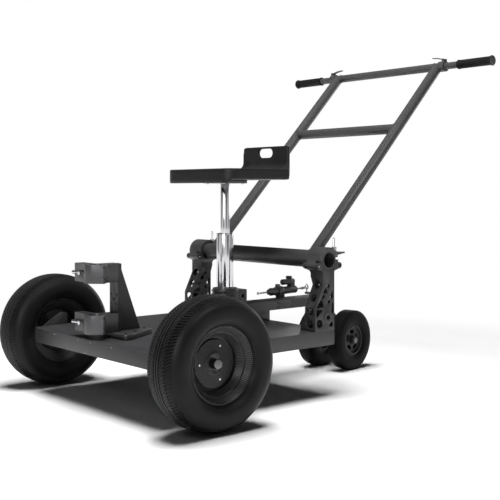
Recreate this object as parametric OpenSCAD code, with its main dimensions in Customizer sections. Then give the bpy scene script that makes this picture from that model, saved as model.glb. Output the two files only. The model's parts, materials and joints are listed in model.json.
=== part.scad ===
// Camera rickshaw: a low platform on two big tyres and a swivelling pair of
// small wheels, with a pipe tower in front, a seat on a mast and a push handle.
// +X is the rider's left, +Y points to the rear, the floor is at Z = 0 and the
// origin lies under the middle of the whole length.

/* [Big wheels] */
// Outer radius of the big tyres, and height of the front axle
tyre_r = 200; // [190:1:215]
// Width of a big tyre
tyre_w = 147.8; // [140:0.2:156]
// Thickness of a big tyre's wall
tyre_wall = 9; // [7:0.5:11]
// Inner radius of a big tyre's section
tyre_in_r = 105; // [102:0.5:107]
// Squareness of a big tyre's section, where 1 is an ellipse
tyre_square = 0.75; // [0.7:0.01:0.8]
// Distance between the middles of the big wheels
track = 929.2; // [920:0.2:980]
// Distance from the tread's middle to each of its two grooves
groove_x = 11; // [8:0.5:20]
// Width of a tread groove
groove_w = 4; // [2:0.5:6]
// Depth of a tread groove
groove_d = 5; // [3:0.5:6]
// Radius of the rim's mouth
rim_r = 110.5; // [109:0.5:112]
// Half of the rim's width
rim_half = 53.4; // [52:0.2:56]
// Radius of the step in the rim
step_r = 95.5; // [93:0.5:97]
// Distance from the rim's middle to its step
step_x = 37.9; // [36:0.1:40]
// Radius of the rim's well
well_r = 79; // [77:0.5:84]
// Distance from the rim's middle to the end of its well
well_x = 15.4; // [14:0.2:20]
// Thickness of the rim's wall
rim_wall = 4; // [3:0.5:5]
// Thickness of the web inside the rim
web_t = 8; // [6:0.5:10]
// Radius of the two hub discs
disc_r = 71; // [66:0.5:74]
// Thickness of a hub disc
disc_t = 6.4; // [5:0.2:8]
// Radius of the hub's barrel and boss
boss_r = 33; // [30:0.5:36]
// How far the boss stands out of the hub disc
boss_h = 4; // [2:0.5:8]
// Depth of the cup in the boss
cup_d = 13; // [10:0.5:16]
// Thickness of the cup's wall
cup_wall = 5; // [4:0.5:7]
// Length of the hub's barrel inboard of the wheel's middle
barrel_in = 35; // [28:0.5:40]
// Radius of the front axle
axle_r = 12.5; // [11:0.1:13]
// Radius of an axle nut
nut_r = 15; // [14.5:0.1:16]
// How far an axle nut stands out of the boss
nut_out = 18.5; // [14:0.5:24]

/* [Deck] */
// Width of the deck
deck_w = 733.4; // [720:0.2:740]
// Distance from the front axle to the deck's front edge
deck_front = 139; // [130:1:160]
// Distance from the front axle to the deck's rear edge
deck_back = 614; // [612:1:680]
// Height of the deck's top
deck_top = 227.5; // [225:0.5:236]
// Depth of the deck's side panels
deck_h = 49.5; // [45:0.5:60]
// Thickness of the deck's sheet
sheet = 4; // [3:0.5:5]
// Width of the clipped front corners
clip_x = 20; // [10:1:40]
// Length of the clipped front corners
clip_y = 10; // [5:1:20]
// Thickness of the axle side plates
plate_t = 8; // [6:0.5:10]
// Distance from the front axle to a side plate's front end
plate_front = 110; // [90:1:125]
// Height of a side plate's top
plate_top = 271; // [262:1:280]
// Distance from the front axle to the top of a side plate's slope
plate_crest = 25; // [20:1:40]
// Distance from the front axle to a side plate's tail below the deck's top
plate_tail = 40; // [30:1:60]
// Radius of the bosses that carry the axle
carrier_r = 22; // [18:0.5:26]

/* [Tower] */
// Thickness of the tower's base plate
base_t = 18; // [14:0.5:22]
// Half of the base plate's width
base_half = 105; // [98:1:120]
// Distance from the front axle forwards to the base plate's front edge
base_front = 64; // [60:1:69]
// Distance from the front axle back to the base plate's rear end
base_back = 90; // [80:1:110]
// Width of the tower's post
post_w = 52; // [48:1:60]
// Thickness of the tower's post
post_t = 12; // [10:0.5:16]
// Distance from the front axle forwards to the post's front face
post_y = 40; // [36:0.5:44]
// Height of the post above the base plate
post_h = 222; // [200:1:260]
// Height of the middle of the post's hole pattern above the base plate
pattern_z = 105; // [90:1:110]
// Spacing of the four corner holes across the post
pattern_w = 34; // [26:1:38]
// Spacing of the four corner holes along the post
pattern_h = 31; // [24:1:36]
// Radius of the four corner holes
corner_hole_r = 3.3; // [2.5:0.1:4]
// Radius of the middle hole
middle_hole_r = 4.2; // [3:0.1:5]
// Thickness of the gusset behind the post
gusset_t = 10; // [8:0.5:14]
// Depth of the gusset at the base plate
gusset_foot = 88; // [70:1:100]
// Depth of the gusset at the post's top
gusset_top = 6; // [3:0.5:12]

/* [Pipe clamps] */
// Radius of the pipe that the clamps take
pipe_r = 24.15; // [21:0.05:26]
// Distance from the post's front face to the pipe's middle
pipe_off = 69; // [66:0.5:80]
// Height of a pipe clamp
clamp_h = 60; // [50:1:70]
// Outer radius of a pipe clamp
clamp_r = 38; // [36:0.5:42]
// Gap between the two halves of a pipe clamp
split_gap = 2; // [1:0.1:3]
// Distance from the pipe's middle to the end of a clamp's lug
lug_x = 104; // [90:1:110]
// Thickness of each half of a clamp's lug
lug_t = 16; // [12:0.5:20]
// Distance from the pipe's middle to a clamp's screw
pipe_screw_x = 58; // [54:0.5:70]
// Radius of a clamp's screw
pipe_screw_r = 5; // [4:0.1:6]
// Distance from the pipe's middle to a clamp's hinge
knuckle_x = 44; // [42:0.5:48]
// Radius of a clamp's knuckles
knuckle_r = 7; // [6:0.1:8]
// Height of each of the saddle's two knuckles
knuckle_h = 13; // [10:0.5:16]
// Radius of a clamp's hinge pin
pin_r = 3; // [2.5:0.1:3.5]
// Length of a pipe clamp's lever from its screw
pipe_lever_l = 44; // [36:1:60]
// Radius of a pipe clamp's lever at its end
pipe_lever_r = 6; // [5:0.1:7]
// Radius of a pipe clamp's lever at its screw
pipe_lever_neck = 3.6; // [3:0.1:4.5]

/* [Spine] */
// Width of the spine beam
beam_w = 70; // [64:1:76]
// Height of the spine beam
beam_h = 35; // [30:1:40]
// Clear height between the deck's top and the beam
beam_lift = 34.5; // [30:0.5:37]
// Distance from the front axle to the beam's front end
beam_front = 366; // [340:1:380]
// Length of the leg under the beam's front end
front_leg = 120; // [90:1:140]
// Length of the leg under the beam at the deck's rear edge
rear_leg = 94; // [60:1:120]
// Distance from the front axle to the middle of the beam's hole pattern
beam_holes_y = 691; // [660:1:720]
// Spacing of the beam's holes along it
beam_holes_l = 72; // [50:1:90]
// Spacing of the beam's holes up it
beam_holes_h = 17; // [14:0.5:20]
// Radius of the beam's holes
beam_hole_r = 3.3; // [2.5:0.1:4]
// Distance from the front axle to the caster's swivel axis
swivel_back = 896; // [892:1:940]
// Radius of the steering head
head_r = 35; // [32:0.5:38]
// How far the steering head reaches below the beam
head_drop = 12; // [10:0.5:13]

/* [Seat mast] */
// Distance from the front axle to the seat mast
mast_back = 428.7; // [420:0.1:440]
// Radius of the lower mast tube
mast_r = 30.4; // [28:0.1:32]
// Height of the lower mast tube's top above the beam
mast_h = 255; // [230:1:280]
// Radius of the foot's base
foot_r = 62; // [58:0.5:66]
// Thickness of the foot's base
foot_t = 12; // [9:0.5:15]
// Radius of the foot's collar
collar_r = 45; // [42:0.5:50]
// Height of the foot's collar
collar_h = 47; // [40:0.5:56]
// Radius of the ribs round the foot's collar
rib_r = 49; // [47:0.5:54]
// Width of the block behind the foot
block_w = 64; // [50:1:68]
// Distance from the mast to the block's rear face
block_back = 76; // [68:1:84]
// Height of the block
block_h = 51; // [44:0.5:56]
// Radius of the hole through the block
block_hole_r = 6; // [4:0.5:8]
// Radius of the upper seat post
post_r = 16.2; // [14:0.1:18]
// Wall of the upper seat post
post_wall = 3.2; // [2.5:0.1:4]
// Length of the upper seat post
post_l = 326; // [300:1:360]
// Height of the upper seat post's top above the lower tube's
post_out = 179; // [140:1:190]

/* [Seat] */
// Half of the seat's width
seat_half = 184; // [170:1:200]
// Distance from the mast forwards to the seat's front edge
seat_front = 135; // [120:1:150]
// Distance from the mast back to the foot of the backrest
seat_back = 150; // [140:1:165]
// Distance from the mast to the backrest's rear face
back_y = 206; // [195:1:220]
// Half of the backrest's width
back_half = 124; // [112:1:134]
// Height of the seat's top above its mounting plate
pan_t = 37; // [32:0.5:42]
// Depth of the seat's front lip
lip_h = 51; // [44:0.5:58]
// Height of the backrest's top above the pan
back_h = 89; // [75:1:110]
// Thickness of the backrest
back_t = 15; // [12:0.5:18]
// Radius of the seat's front corners in plan
seat_corner = 48; // [30:1:56]
// Half of the hand slot's width
slot_half = 40; // [30:1:50]
// Height of the hand slot
slot_h = 33; // [26:0.5:40]
// Distance from the backrest's top edge to the hand slot
slot_drop = 9; // [7:0.5:14]
// Side of the square mounting plate
seat_plate_w = 120; // [100:1:140]
// Thickness of the mounting plate
seat_plate_t = 13; // [10:0.5:16]
// Length of the mounting plate's pivot
pivot_l = 30; // [20:1:40]

/* [Handle] */
// Distance from the front axle to the cross tube's axis
cross_back = 589; // [586:1:592]
// Height of the cross tube's axis
cross_z = 468; // [464:1:474]
// Outer radius of the cross tube
cross_r = 30.4; // [29:0.1:31]
// Wall of the cross tube
cross_wall = 4; // [3:0.1:6]
// Distance from the middle to each leg of the handle
leg_x = 273; // [268:0.5:274]
// Radius of the handle's legs
leg_r = 20; // [17:0.5:20.5]
// Wall of the handle's tubes
tube_wall = 2.4; // [2:0.1:2.6]
// Distance back from the cross tube to the T-bar
tbar_back = 709; // [680:1:740]
// Height of the T-bar above the cross tube
tbar_up = 729; // [700:1:750]
// Radius of the T-bar
tbar_r = 16; // [15:0.1:17.5]
// Half of the T-bar's length
tbar_half = 312; // [308:1:320]
// Height of the crossbar above the cross tube
bar_up = 473; // [440:1:500]
// Radius of the crossbar
bar_r = 19; // [16:0.5:19.5]
// Distance from the middle to the end of each grip
grip_end = 532; // [520:1:534]
// Distance from the middle to the inner end of each grip
grip_start = 375; // [366:1:390]
// Radius of the rubber grips
grip_r = 17.2; // [16:0.1:18]
// Radius of the grips' end flanges
flange_r = 19.8; // [19:0.1:21]
// Width of the grips' end flanges
flange_w = 6; // [4:0.5:8]
// Length of a grip tube inside the T-bar
grip_inside = 190; // [160:1:210]
// Width of a quick release collar
ring_w = 28; // [24:0.5:32]
// Thickness of a quick release collar
ring_t = 5; // [4:0.1:6]
// Length of a quick release lever
snap_l = 54; // [44:1:60]
// Width of a quick release lever
snap_w = 14; // [10:0.5:18]

/* [Side brackets] */
// Distance from the front axle to the brackets' rear face
frame_back = 613.6; // [611:0.1:614]
// Distance from the brackets' rear face forwards to their front face
frame_depth = 91.6; // [88:0.1:96]
// Width of the brackets' body
frame_w = 50; // [46:0.5:54]
// Width of the brackets' foot
frame_foot_w = 73; // [68:0.5:80]
// Width of the clamp at the brackets' top
jaw_w = 70.4; // [67:0.1:71]
// Outer radius of the clamp
jaw_r = 43.5; // [42.5:0.1:45]
// Height of the brackets' neck above the deck
neck_h = 156; // [150:1:162]
// Depth of the brackets' neck
neck_depth = 55; // [50:0.5:60]
// Height at which the brackets' front face starts to slope, above the deck
slope_h = 80; // [74:1:90]
// Radius of the hinge bosses
boss_jaw_r = 11; // [10:0.1:12]
// Distance from the cross tube forwards to the cap's hinge
hinge_fore = 47; // [46:0.5:50]
// Distance from the cross tube down to the cap's hinge
hinge_drop = 20; // [18:0.5:24]
// Width of the cap's knuckle
cap_knuckle = 40; // [34:1:46]
// Distance from the cross tube back to the cap's screw
screw_back = 50; // [49:0.5:53]
// Radius of the cap's screw
cap_screw_r = 4; // [3:0.1:4.5]
// Distance from the cross tube back to the tip of the cap's lug
cap_lug = 77; // [66:1:80]
// Length of the cap's upright lever
cap_lever_l = 36; // [28:1:44]
// Radius of the cap's upright lever
cap_lever_r = 4; // [3.2:0.1:5]
// Radius of the round holes in the brackets' front face
front_hole_r = 14; // [11:0.5:14.5]
// Height of the lowest of these holes above the deck
front_hole_z = 23; // [20:0.5:26]
// Distance between these holes
front_hole_pitch = 44.2; // [43:0.1:45]
// Distance from the brackets' rear face to the raised ring's middle
ring_back = 31.6; // [28:0.1:36]
// Height of the raised ring's middle above the deck
ring_up = 45.5; // [42:0.5:50]
// Radius of the raised ring on the brackets' side
ring_boss_r = 19; // [17:0.5:20]
// Radius of the hole in the raised ring
ring_hole_r = 8; // [6:0.5:9]
// How far the raised ring stands out
ring_boss_h = 2; // [1:0.5:3]

/* [Caster] */
// Angle through which the caster is turned
caster_turn = 9; // [-10:1:12]
// Distance from the swivel axis back to the small wheels' axle
trail = 112; // [104:1:116]
// Outer radius of the small wheels
small_r = 116.3; // [110:0.1:118]
// Width of a small tyre
small_w = 62; // [54:1:66]
// Distance between the middles of the small wheels
small_track = 146.7; // [140:0.1:156]
// Inner radius of the small tyres
small_in_r = 58; // [56:0.5:64]
// Radius of the step in the small wheels' face
small_step_r = 48; // [44:0.5:52]
// Half of the small wheels' hub width
small_half = 26; // [23:0.5:28]
// Thickness of the small wheels' disc
small_disc_t = 26; // [20:0.5:30]
// Length of the oval openings in the small wheels
oval_l = 26; // [20:0.5:30]
// Width of the oval openings in the small wheels
oval_w = 15; // [11:0.5:17]
// Number of oval openings in a small wheel
oval_n = 5; // [4:1:6]
// Radius of the small wheels' boss
small_boss_r = 17; // [15:0.5:18]
// Radius of the small wheels' axle
small_axle_r = 8; // [6:0.1:9]
// Radius of the caster's stem
stem_r = 14; // [12:0.1:16]
// Half of the clear width between the fork's cheeks
cheek_x = 14; // [10:0.5:20]
// Thickness of a cheek
cheek_t = 12; // [8:0.5:14]
// Radius of the cheeks round the axle
cheek_r = 24; // [20:0.5:28]
// Thickness of the fork's crown
crown_t = 12; // [10:0.5:12.5]
// Radius of the nut on the stem
stem_nut_r = 20; // [18:0.5:24]
// Height of the nut on the stem
stem_nut_h = 12; // [8:0.5:14]
// Distance from the swivel axis to the steering arm's boss
arm_l = 52.5; // [48:0.5:56]
// Thickness of the steering arm
arm_t = 8; // [6:0.5:10]
// Radius of the steering arm's boss
arm_boss_r = 8; // [6:0.5:9]

/* [Steering damper] */
// Height of the damper's axis above the beam
damper_z = 25; // [24:0.5:30]
// Angle of the damper against the beam
damper_yaw = 7.5; // [5:0.1:9]
// Distance along the damper from its rear joint to the clamp's middle
damper_back = 171; // [165:1:178]
// Width of the damper's clamp
clamp_w = 28; // [24:1:34]
// Wall of the damper's clamp ring
clamp_wall = 4; // [3:0.5:5]
// Radius of the damper's body
body_r = 14.5; // [12:0.1:15]
// Length of the damper's body in front of the clamp's middle
body_front = 62; // [56:1:70]
// Length of the damper's body behind the clamp's middle
body_back = 102; // [94:1:106]
// Radius of the damper's rod
rod_r = 3.2; // [2.6:0.1:4]
// Distance from the damper's front end to the middle of the rod's ball
ball_out = 59; // [50:0.5:64]
// Radius of the rod's ball
ball_r = 5; // [4:0.1:6]
// Radius of the rod end's eye
eye_r = 9; // [7:0.1:10]
// Radius of the stud in the rod end
stud_r = 3; // [2.5:0.1:4]
// Length of the damper's reservoir
tank_l = 68; // [60:1:72]
// Distance from the clamp back to the reservoir's front end
tank_gap = 4; // [2:0.5:8]
// Distance from the reservoir's front end back to the knob
knob_place = 42; // [38:1:46]
// Length of the block that joins the reservoir to the body
tank_block = 24; // [18:1:30]
// Radius of the damper's reservoir
tank_r = 11; // [9:0.1:12]
// Distance from the damper's axis up to the reservoir's axis
tank_up = 32; // [28:0.5:34]
// Radius of the damper's knob
knob_r = 12; // [9:0.1:13]
// Height of the damper's knob
knob_h = 9; // [8:0.5:14]

/* [Hidden] */

// Finishes
anodised = [0.20, 0.20, 0.21];
satin = [0.38, 0.38, 0.39];
moulded = [0.09, 0.09, 0.10];
tread_rubber = [0.11, 0.11, 0.11];
polished = [0.80, 0.80, 0.82];

$fn = 72;
// Clearance of a shaft in its hole
fit = 0.05;
// Gap between curved faces that move past each other
gap = 0.3;
// Overshoot of a cutting shape past the face that it cuts
over = 1;

// Length of the whole cart, and the front axle's place when the origin is its middle
grip_radius = max(flange_r, tbar_r + ring_t);
cart_l = tyre_r + cross_back + tbar_back + grip_radius;
axle_y = tyre_r - cart_l / 2;
axle_z = tyre_r;

deck_under = deck_top - deck_h;
base_top = deck_top + base_t;
post_top = base_top + post_h;
post_back = post_t - post_y;
pipe_y = -post_y - pipe_off;
clamp_low_z = base_top;
clamp_high_z = post_top - clamp_h;
pipe_screw_tip = split_gap / 2 + fit;
pipe_lever_y = -split_gap / 2 - lug_t;

beam_under = deck_top + beam_lift;
beam_top = beam_under + beam_h;
head_under = beam_under - head_drop;
mast_top = beam_top + mast_h;
seat_post_top = mast_top + post_out;
pan_under = seat_post_top + gap + seat_plate_t;
pan_top = pan_under + pan_t;

body_x = deck_w / 2;
tube_half = body_x + 1;
jaw_in = body_x - jaw_w;
leg_len = norm([tbar_back, tbar_up]);
leg_tilt = atan2(tbar_up, tbar_back);
bar_share = bar_up / tbar_up;

section_h = (tyre_r - tyre_in_r) / 2;
section_r = (tyre_r + tyre_in_r) / 2;
seat_wall_r = step_r + rim_wall + 1.5;
well_out_r = well_r + rim_wall;
hub_bore = axle_r + fit;
boss_end = web_t / 2 + disc_t + boss_h;
nut_start = boss_end - cup_d + gap;
nut_end = boss_end + nut_out;
axle_end = track / 2 + (nut_start + nut_end) / 2;
carrier_end = track / 2 - barrel_in - gap;

small_z = small_r;
crown_top = head_under - gap;
crown_under = crown_top - crown_t;
arm_under = beam_top + gap;
arm_top = arm_under + arm_t;
cheek_out = cheek_x + cheek_t;
small_section_h = (small_r - small_in_r) / 2;
small_section_r = (small_r + small_in_r) / 2;

rod_z = beam_top + damper_z;
tank_y = clamp_w / 2 + tank_gap - damper_back;
knob_y = tank_y + knob_place;
pad_z = tank_up + tank_r + 1;

hinge_y = cross_back - hinge_fore;
hinge_z = cross_z - hinge_drop;
screw_y = cross_back + screw_back;
screw_x = body_x - 27;
frame_front = frame_back - frame_depth;
neck_z = deck_top + neck_h;
neck_end = hinge_z - 18;
lug_top = cross_z + 26;
lug_under = cross_z + 12;
knuckle_mid = body_x - jaw_w / 2;

pivot_z = lug_top + 12;
ear_t = 3;
lever_w = 10;

tbar_y = cross_back + tbar_back;
tbar_z = cross_z + tbar_up;
slide_r = tbar_r - tube_wall - fit;
snap_x = tbar_half - 7;
snap_z = tbar_r + ring_t + 4;

// Moves a shape from the front axle's frame to the cart's frame
module from_axle() {
    translate([0, axle_y, 0]) children();
}

// Draws a left-hand shape on side 1, or its mirror image on side -1
module on_side(side) {
    if (side > 0) children();
    else mirror([1, 0, 0]) children();
}

// Extrudes a (Y, Z) outline along X from x0 to x1
module across(x0, x1) {
    translate([x0, 0, 0]) rotate([90, 0, 90]) linear_extrude(x1 - x0) children();
}

// Cylinder along X from x0 to x1 about the point (y, z)
module bar_x(x0, x1, y, z, r) {
    translate([x0, y, z]) rotate([0, 90, 0]) cylinder(h = x1 - x0, r = r);
}

// Cylinder along Y from y0 to y1 about the point (x, z)
module bar_y(y0, y1, x, z, r) {
    translate([x, y1, z]) rotate([90, 0, 0]) cylinder(h = y1 - y0, r = r);
}

// Turns a (radius, X) section about the X axis
module turned_x() {
    rotate([0, 90, 0]) rotate_extrude() children();
}

// Points of an arc about c from angle a0 to a1
function arc(c, r, a0, a1, n = 8) =
    [for (i = [0 : n]) let (a = a0 + (a1 - a0) * i / n) c + r * [cos(a), sin(a)]];

// Points of a squared oval with half axes a and b
function oval_power(v, p) = sign(v) * pow(abs(v), p);
function oval(a, b, p, n = 48) =
    [for (i = [0 : n - 1]) let (t = 360 * i / n)
        [b * oval_power(sin(t), p), a * oval_power(cos(t), p)]];

// Points of a convex outline, listed counter-clockwise, swelled by radius r
function heading(p, q) = atan2(q.y - p.y, q.x - p.x);
function swell(pts, r, n = 5) =
    [for (i = [0 : len(pts) - 1])
        let (
            before = pts[(i + len(pts) - 1) % len(pts)],
            after = pts[(i + 1) % len(pts)],
            a0 = heading(before, pts[i]) - 90,
            turn = (heading(pts[i], after) - 90 - a0 + 720) % 360
        )
        each arc(pts[i], r, a0, a0 + turn, n)];

// Folded tray: top sheet and four side panels, clipped at the front corners
function deck_outline(inset) = [
    [-body_x + inset, deck_back - inset],
    [-body_x + inset, clip_y - deck_front],
    [clip_x - body_x, inset - deck_front],
    [body_x - clip_x, inset - deck_front],
    [body_x - inset, clip_y - deck_front],
    [body_x - inset, deck_back - inset]
];

module deck() {
    color(anodised) from_axle() difference() {
        translate([0, 0, deck_under]) linear_extrude(deck_h) polygon(deck_outline(0));
        translate([0, 0, deck_under - over])
            linear_extrude(deck_h - sheet + over) polygon(deck_outline(sheet));
        bar_x(-body_x - over, body_x + over, 0, axle_z, axle_r + fit);
    }
}

module front_axle() {
    color(polished) from_axle() bar_x(-axle_end, axle_end, 0, axle_z, axle_r);
}

// Cap nuts over both ends of the axle
module axle_nuts() {
    for (side = [-1, 1])
        color(polished) from_axle() on_side(side) translate([track / 2, 0, axle_z]) turned_x()
            polygon([
                [axle_r + fit, nut_start], [nut_r, nut_start],
                [nut_r, nut_end - 2], [nut_r - 2, nut_end],
                [0, nut_end], [0, axle_end - track / 2 + fit],
                [axle_r + fit, axle_end - track / 2 + fit]
            ]);
}

// Side plate over the axle with the boss that carries it
module axle_plate(side) {
    crest = 8;
    color(anodised) from_axle() on_side(side) difference() {
        union() {
            across(body_x, body_x + plate_t) polygon(concat(
                [[-plate_front, deck_under], [plate_tail, deck_under], [plate_tail, deck_top]],
                [[-crest / 2, deck_top]],
                arc([-crest, plate_top - crest], crest / 2, 0, 60, 4),
                arc([-plate_crest, plate_top - crest], crest, 60, 121, 4),
                [[-plate_front, deck_top - crest]]
            ));
            bar_x(body_x, carrier_end, 0, axle_z, carrier_r);
        }
        bar_x(body_x - over, carrier_end + over, 0, axle_z, axle_r + fit);
    }
}

module axle_plate_left() { axle_plate(1); }
module axle_plate_right() { axle_plate(-1); }

// Foot of the tower, narrowing to the rear
module tower_base() {
    side_end = 32;
    apex = 29;
    color(anodised) from_axle() translate([0, 0, deck_top]) linear_extrude(base_t) polygon([
        [-base_half + 5, -base_front], [base_half - 5, -base_front],
        [base_half, 6 - base_front], [base_half - 5, -side_end],
        [apex, base_back], [-apex, base_back],
        [5 - base_half, -side_end], [-base_half, 6 - base_front]
    ]);
}

module tower_post() {
    color(anodised) from_axle() difference() {
        translate([-post_w / 2, -post_y, base_top]) cube([post_w, post_t, post_h]);
        bar_y(-post_y - over, post_back + over, 0, base_top + pattern_z, middle_hole_r);
        for (x = [-1, 1], z = [-1, 1])
            bar_y(-post_y - over, post_back + over,
                x * pattern_w / 2, base_top + pattern_z + z * pattern_h / 2, corner_hole_r);
    }
}

module tower_gusset() {
    color(anodised) from_axle() across(-gusset_t / 2, gusset_t / 2) polygon([
        [post_back, base_top], [post_back + gusset_foot, base_top],
        [post_back + gusset_top, post_top], [post_back, post_top]
    ]);
}

// Plan of the lug half that reaches from y0 to y1 beside the pipe
module lug_plan(y0, y1) {
    translate([-lug_x, y0]) square([lug_x, y1 - y0]);
}

// Fixed half of a pipe clamp, with two knuckles
module pipe_saddle(z) {
    color(satin) from_axle() translate([0, pipe_y, z]) difference() {
        union() {
            linear_extrude(clamp_h) union() {
                circle(r = clamp_r);
                translate([-post_w / 2, 0]) square([post_w, pipe_off]);
                lug_plan(0, split_gap / 2 + lug_t);
                square([knuckle_x, knuckle_r]);
            }
            for (z0 = [0, clamp_h - knuckle_h])
                translate([knuckle_x, 0, z0]) cylinder(h = knuckle_h, r = knuckle_r);
        }
        translate([0, 0, -over]) cylinder(h = clamp_h + 2 * over, r = pipe_r);
        translate([-lug_x - over, -clamp_r - over, -over])
            cube([lug_x + clamp_r + over, clamp_r + over + split_gap / 2, clamp_h + 2 * over]);
        translate([clamp_r - over, -clamp_r, -over])
            cube([knuckle_x - clamp_r + over, clamp_r - knuckle_r - over, clamp_h + 2 * over]);
        translate([knuckle_x, 0, knuckle_h])
            cylinder(h = clamp_h - 2 * knuckle_h, r = knuckle_r + gap);
        translate([knuckle_x, 0, -over]) cylinder(h = clamp_h + 2 * over, r = pin_r + fit);
        translate([0, 0, clamp_h / 2])
            bar_y(0, split_gap / 2 + lug_t + over, -pipe_screw_x, 0, pipe_screw_r + fit);
    }
}

module pipe_saddle_upper() { pipe_saddle(clamp_high_z); }
module pipe_saddle_lower() { pipe_saddle(clamp_low_z); }

// Swinging half of a pipe clamp, with the middle knuckle
module pipe_gate(z) {
    lean = acos((clamp_r - knuckle_r) / knuckle_x);
    flank = [cos(lean), -sin(lean)];
    mid_z = knuckle_h + gap;
    mid_h = clamp_h - 2 * mid_z;
    color(satin) from_axle() translate([0, pipe_y, z]) difference() {
        union() {
            difference() {
                linear_extrude(clamp_h) union() {
                    circle(r = clamp_r);
                    lug_plan(-split_gap / 2 - lug_t, 0);
                    polygon([
                        [0, 0], clamp_r * flank, [knuckle_x, 0] + knuckle_r * flank, [knuckle_x, 0]
                    ]);
                }
                translate([-lug_x - over, -split_gap / 2, -over])
                    cube([lug_x + knuckle_x + 2 * over, clamp_r + 2 * over, clamp_h + 2 * over]);
                for (z0 = [-over, clamp_h - mid_z]) translate([knuckle_x, 0, z0])
                    cylinder(h = mid_z + over, r = knuckle_r + gap);
            }
            translate([knuckle_x, 0, mid_z]) cylinder(h = mid_h, r = knuckle_r);
        }
        translate([0, 0, -over]) cylinder(h = clamp_h + 2 * over, r = pipe_r);
        translate([knuckle_x, 0, -over]) cylinder(h = clamp_h + 2 * over, r = pin_r + fit);
        translate([0, 0, clamp_h / 2])
            bar_y(-lug_t - split_gap, over, -pipe_screw_x, 0, pipe_screw_r + fit);
    }
}

module pipe_gate_upper() { pipe_gate(clamp_high_z); }
module pipe_gate_lower() { pipe_gate(clamp_low_z); }

// Tapered lever on the screw that closes a pipe clamp
module pipe_lever(z) {
    hub_l = 2 * pipe_lever_r;
    y_hub = pipe_lever_y - gap - hub_l;
    color(polished) from_axle() translate([0, pipe_y, z + clamp_h / 2]) union() {
        bar_y(y_hub, pipe_lever_y - gap, -pipe_screw_x, 0, pipe_lever_r + 1);
        bar_y(pipe_lever_y - gap - over, -pipe_screw_tip, -pipe_screw_x, 0, pipe_screw_r);
        translate([-pipe_screw_x, y_hub + pipe_lever_r, 0]) rotate([0, -90, 0])
            cylinder(h = pipe_lever_l, r1 = pipe_lever_neck, r2 = pipe_lever_r);
        translate([-pipe_screw_x - pipe_lever_l, y_hub + pipe_lever_r, 0]) sphere(r = pipe_lever_r);
    }
}

module pipe_lever_upper() { pipe_lever(clamp_high_z); }
module pipe_lever_lower() { pipe_lever(clamp_low_z); }

module spine_beam() {
    beam_l = swivel_back - beam_front - head_r / 2;
    color(anodised) from_axle() difference() {
        translate([-beam_w / 2, beam_front, beam_under]) cube([beam_w, beam_l, beam_h]);
        translate([0, swivel_back, beam_under - over])
            cylinder(h = beam_h + 2 * over, r = head_r + fit);
        for (y = [-1, 1], z = [-1, 1])
            bar_x(-beam_w / 2 - over, beam_w / 2 + over,
                beam_holes_y + y * beam_holes_l / 2,
                beam_under + beam_h / 2 + z * beam_holes_h / 2, beam_hole_r);
    }
}

// Spacers between the deck and the beam, at its front end and at the deck's rear edge
module beam_legs() {
    for (place = [[beam_front, front_leg], [deck_back - rear_leg, rear_leg]])
        color(anodised) from_axle() translate([-beam_w / 2, place[0], deck_top])
            cube([beam_w, place[1], beam_lift]);
}

module steering_head() {
    color(anodised) from_axle() translate([0, swivel_back, head_under]) difference() {
        cylinder(h = beam_top - head_under, r = head_r);
        translate([0, 0, -over])
            cylinder(h = beam_top - head_under + 2 * over, r = stem_r + fit);
    }
}

// Ribbed flange that holds the mast, with a drilled block behind it
module mast_foot() {
    rib_n = 3;
    rib_t = 5;
    rib_pitch = (collar_h - foot_t) / rib_n;
    ear_y = mast_back + block_back / 2;
    color(anodised) from_axle() difference() {
        union() {
            translate([0, mast_back, beam_top]) cylinder(h = foot_t, r = foot_r);
            translate([0, mast_back, beam_top]) cylinder(h = collar_h + foot_t, r = collar_r);
            for (i = [1 : rib_n]) translate([0, mast_back, beam_top + foot_t + i * rib_pitch])
                cylinder(h = rib_t, r = rib_r);
            translate([-block_w / 2, mast_back, beam_top]) cube([block_w, block_back, block_h]);
        }
        translate([0, mast_back, beam_top - over])
            cylinder(h = collar_h + foot_t + 2 * over, r = mast_r + fit);
        bar_x(-block_w / 2 - over, block_w / 2 + over,
            ear_y + block_back / 4, beam_top + block_h * 0.56, block_hole_r);
    }
}

module mast_tube() {
    chamfer = 2;
    floor_t = 6;
    color(polished) from_axle() translate([0, mast_back, beam_top]) rotate_extrude() polygon([
        [0, 0], [mast_r, 0], [mast_r, mast_h - chamfer], [mast_r - chamfer, mast_h],
        [post_r + fit, mast_h], [post_r + fit, floor_t], [0, floor_t]
    ]);
}

module seat_post() {
    color(polished) from_axle() translate([0, mast_back, seat_post_top - post_l]) difference() {
        cylinder(h = post_l, r = post_r);
        translate([0, 0, -over]) cylinder(h = post_l + 2 * over, r = post_r - post_wall);
    }
}

// Square plate that carries the seat and turns on the post
module seat_plate() {
    corner = 12;
    reach = seat_plate_w / 2 - corner;
    color(satin) from_axle() translate([0, mast_back, 0]) union() {
        translate([0, 0, seat_post_top + gap]) linear_extrude(seat_plate_t) polygon(swell(
            [[reach, -reach], [reach, reach], [-reach, reach], [-reach, -reach]], corner));
        translate([0, 0, seat_post_top - pivot_l])
            cylinder(h = pivot_l + gap + 1, r = post_r - post_wall - fit);
    }
}

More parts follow.
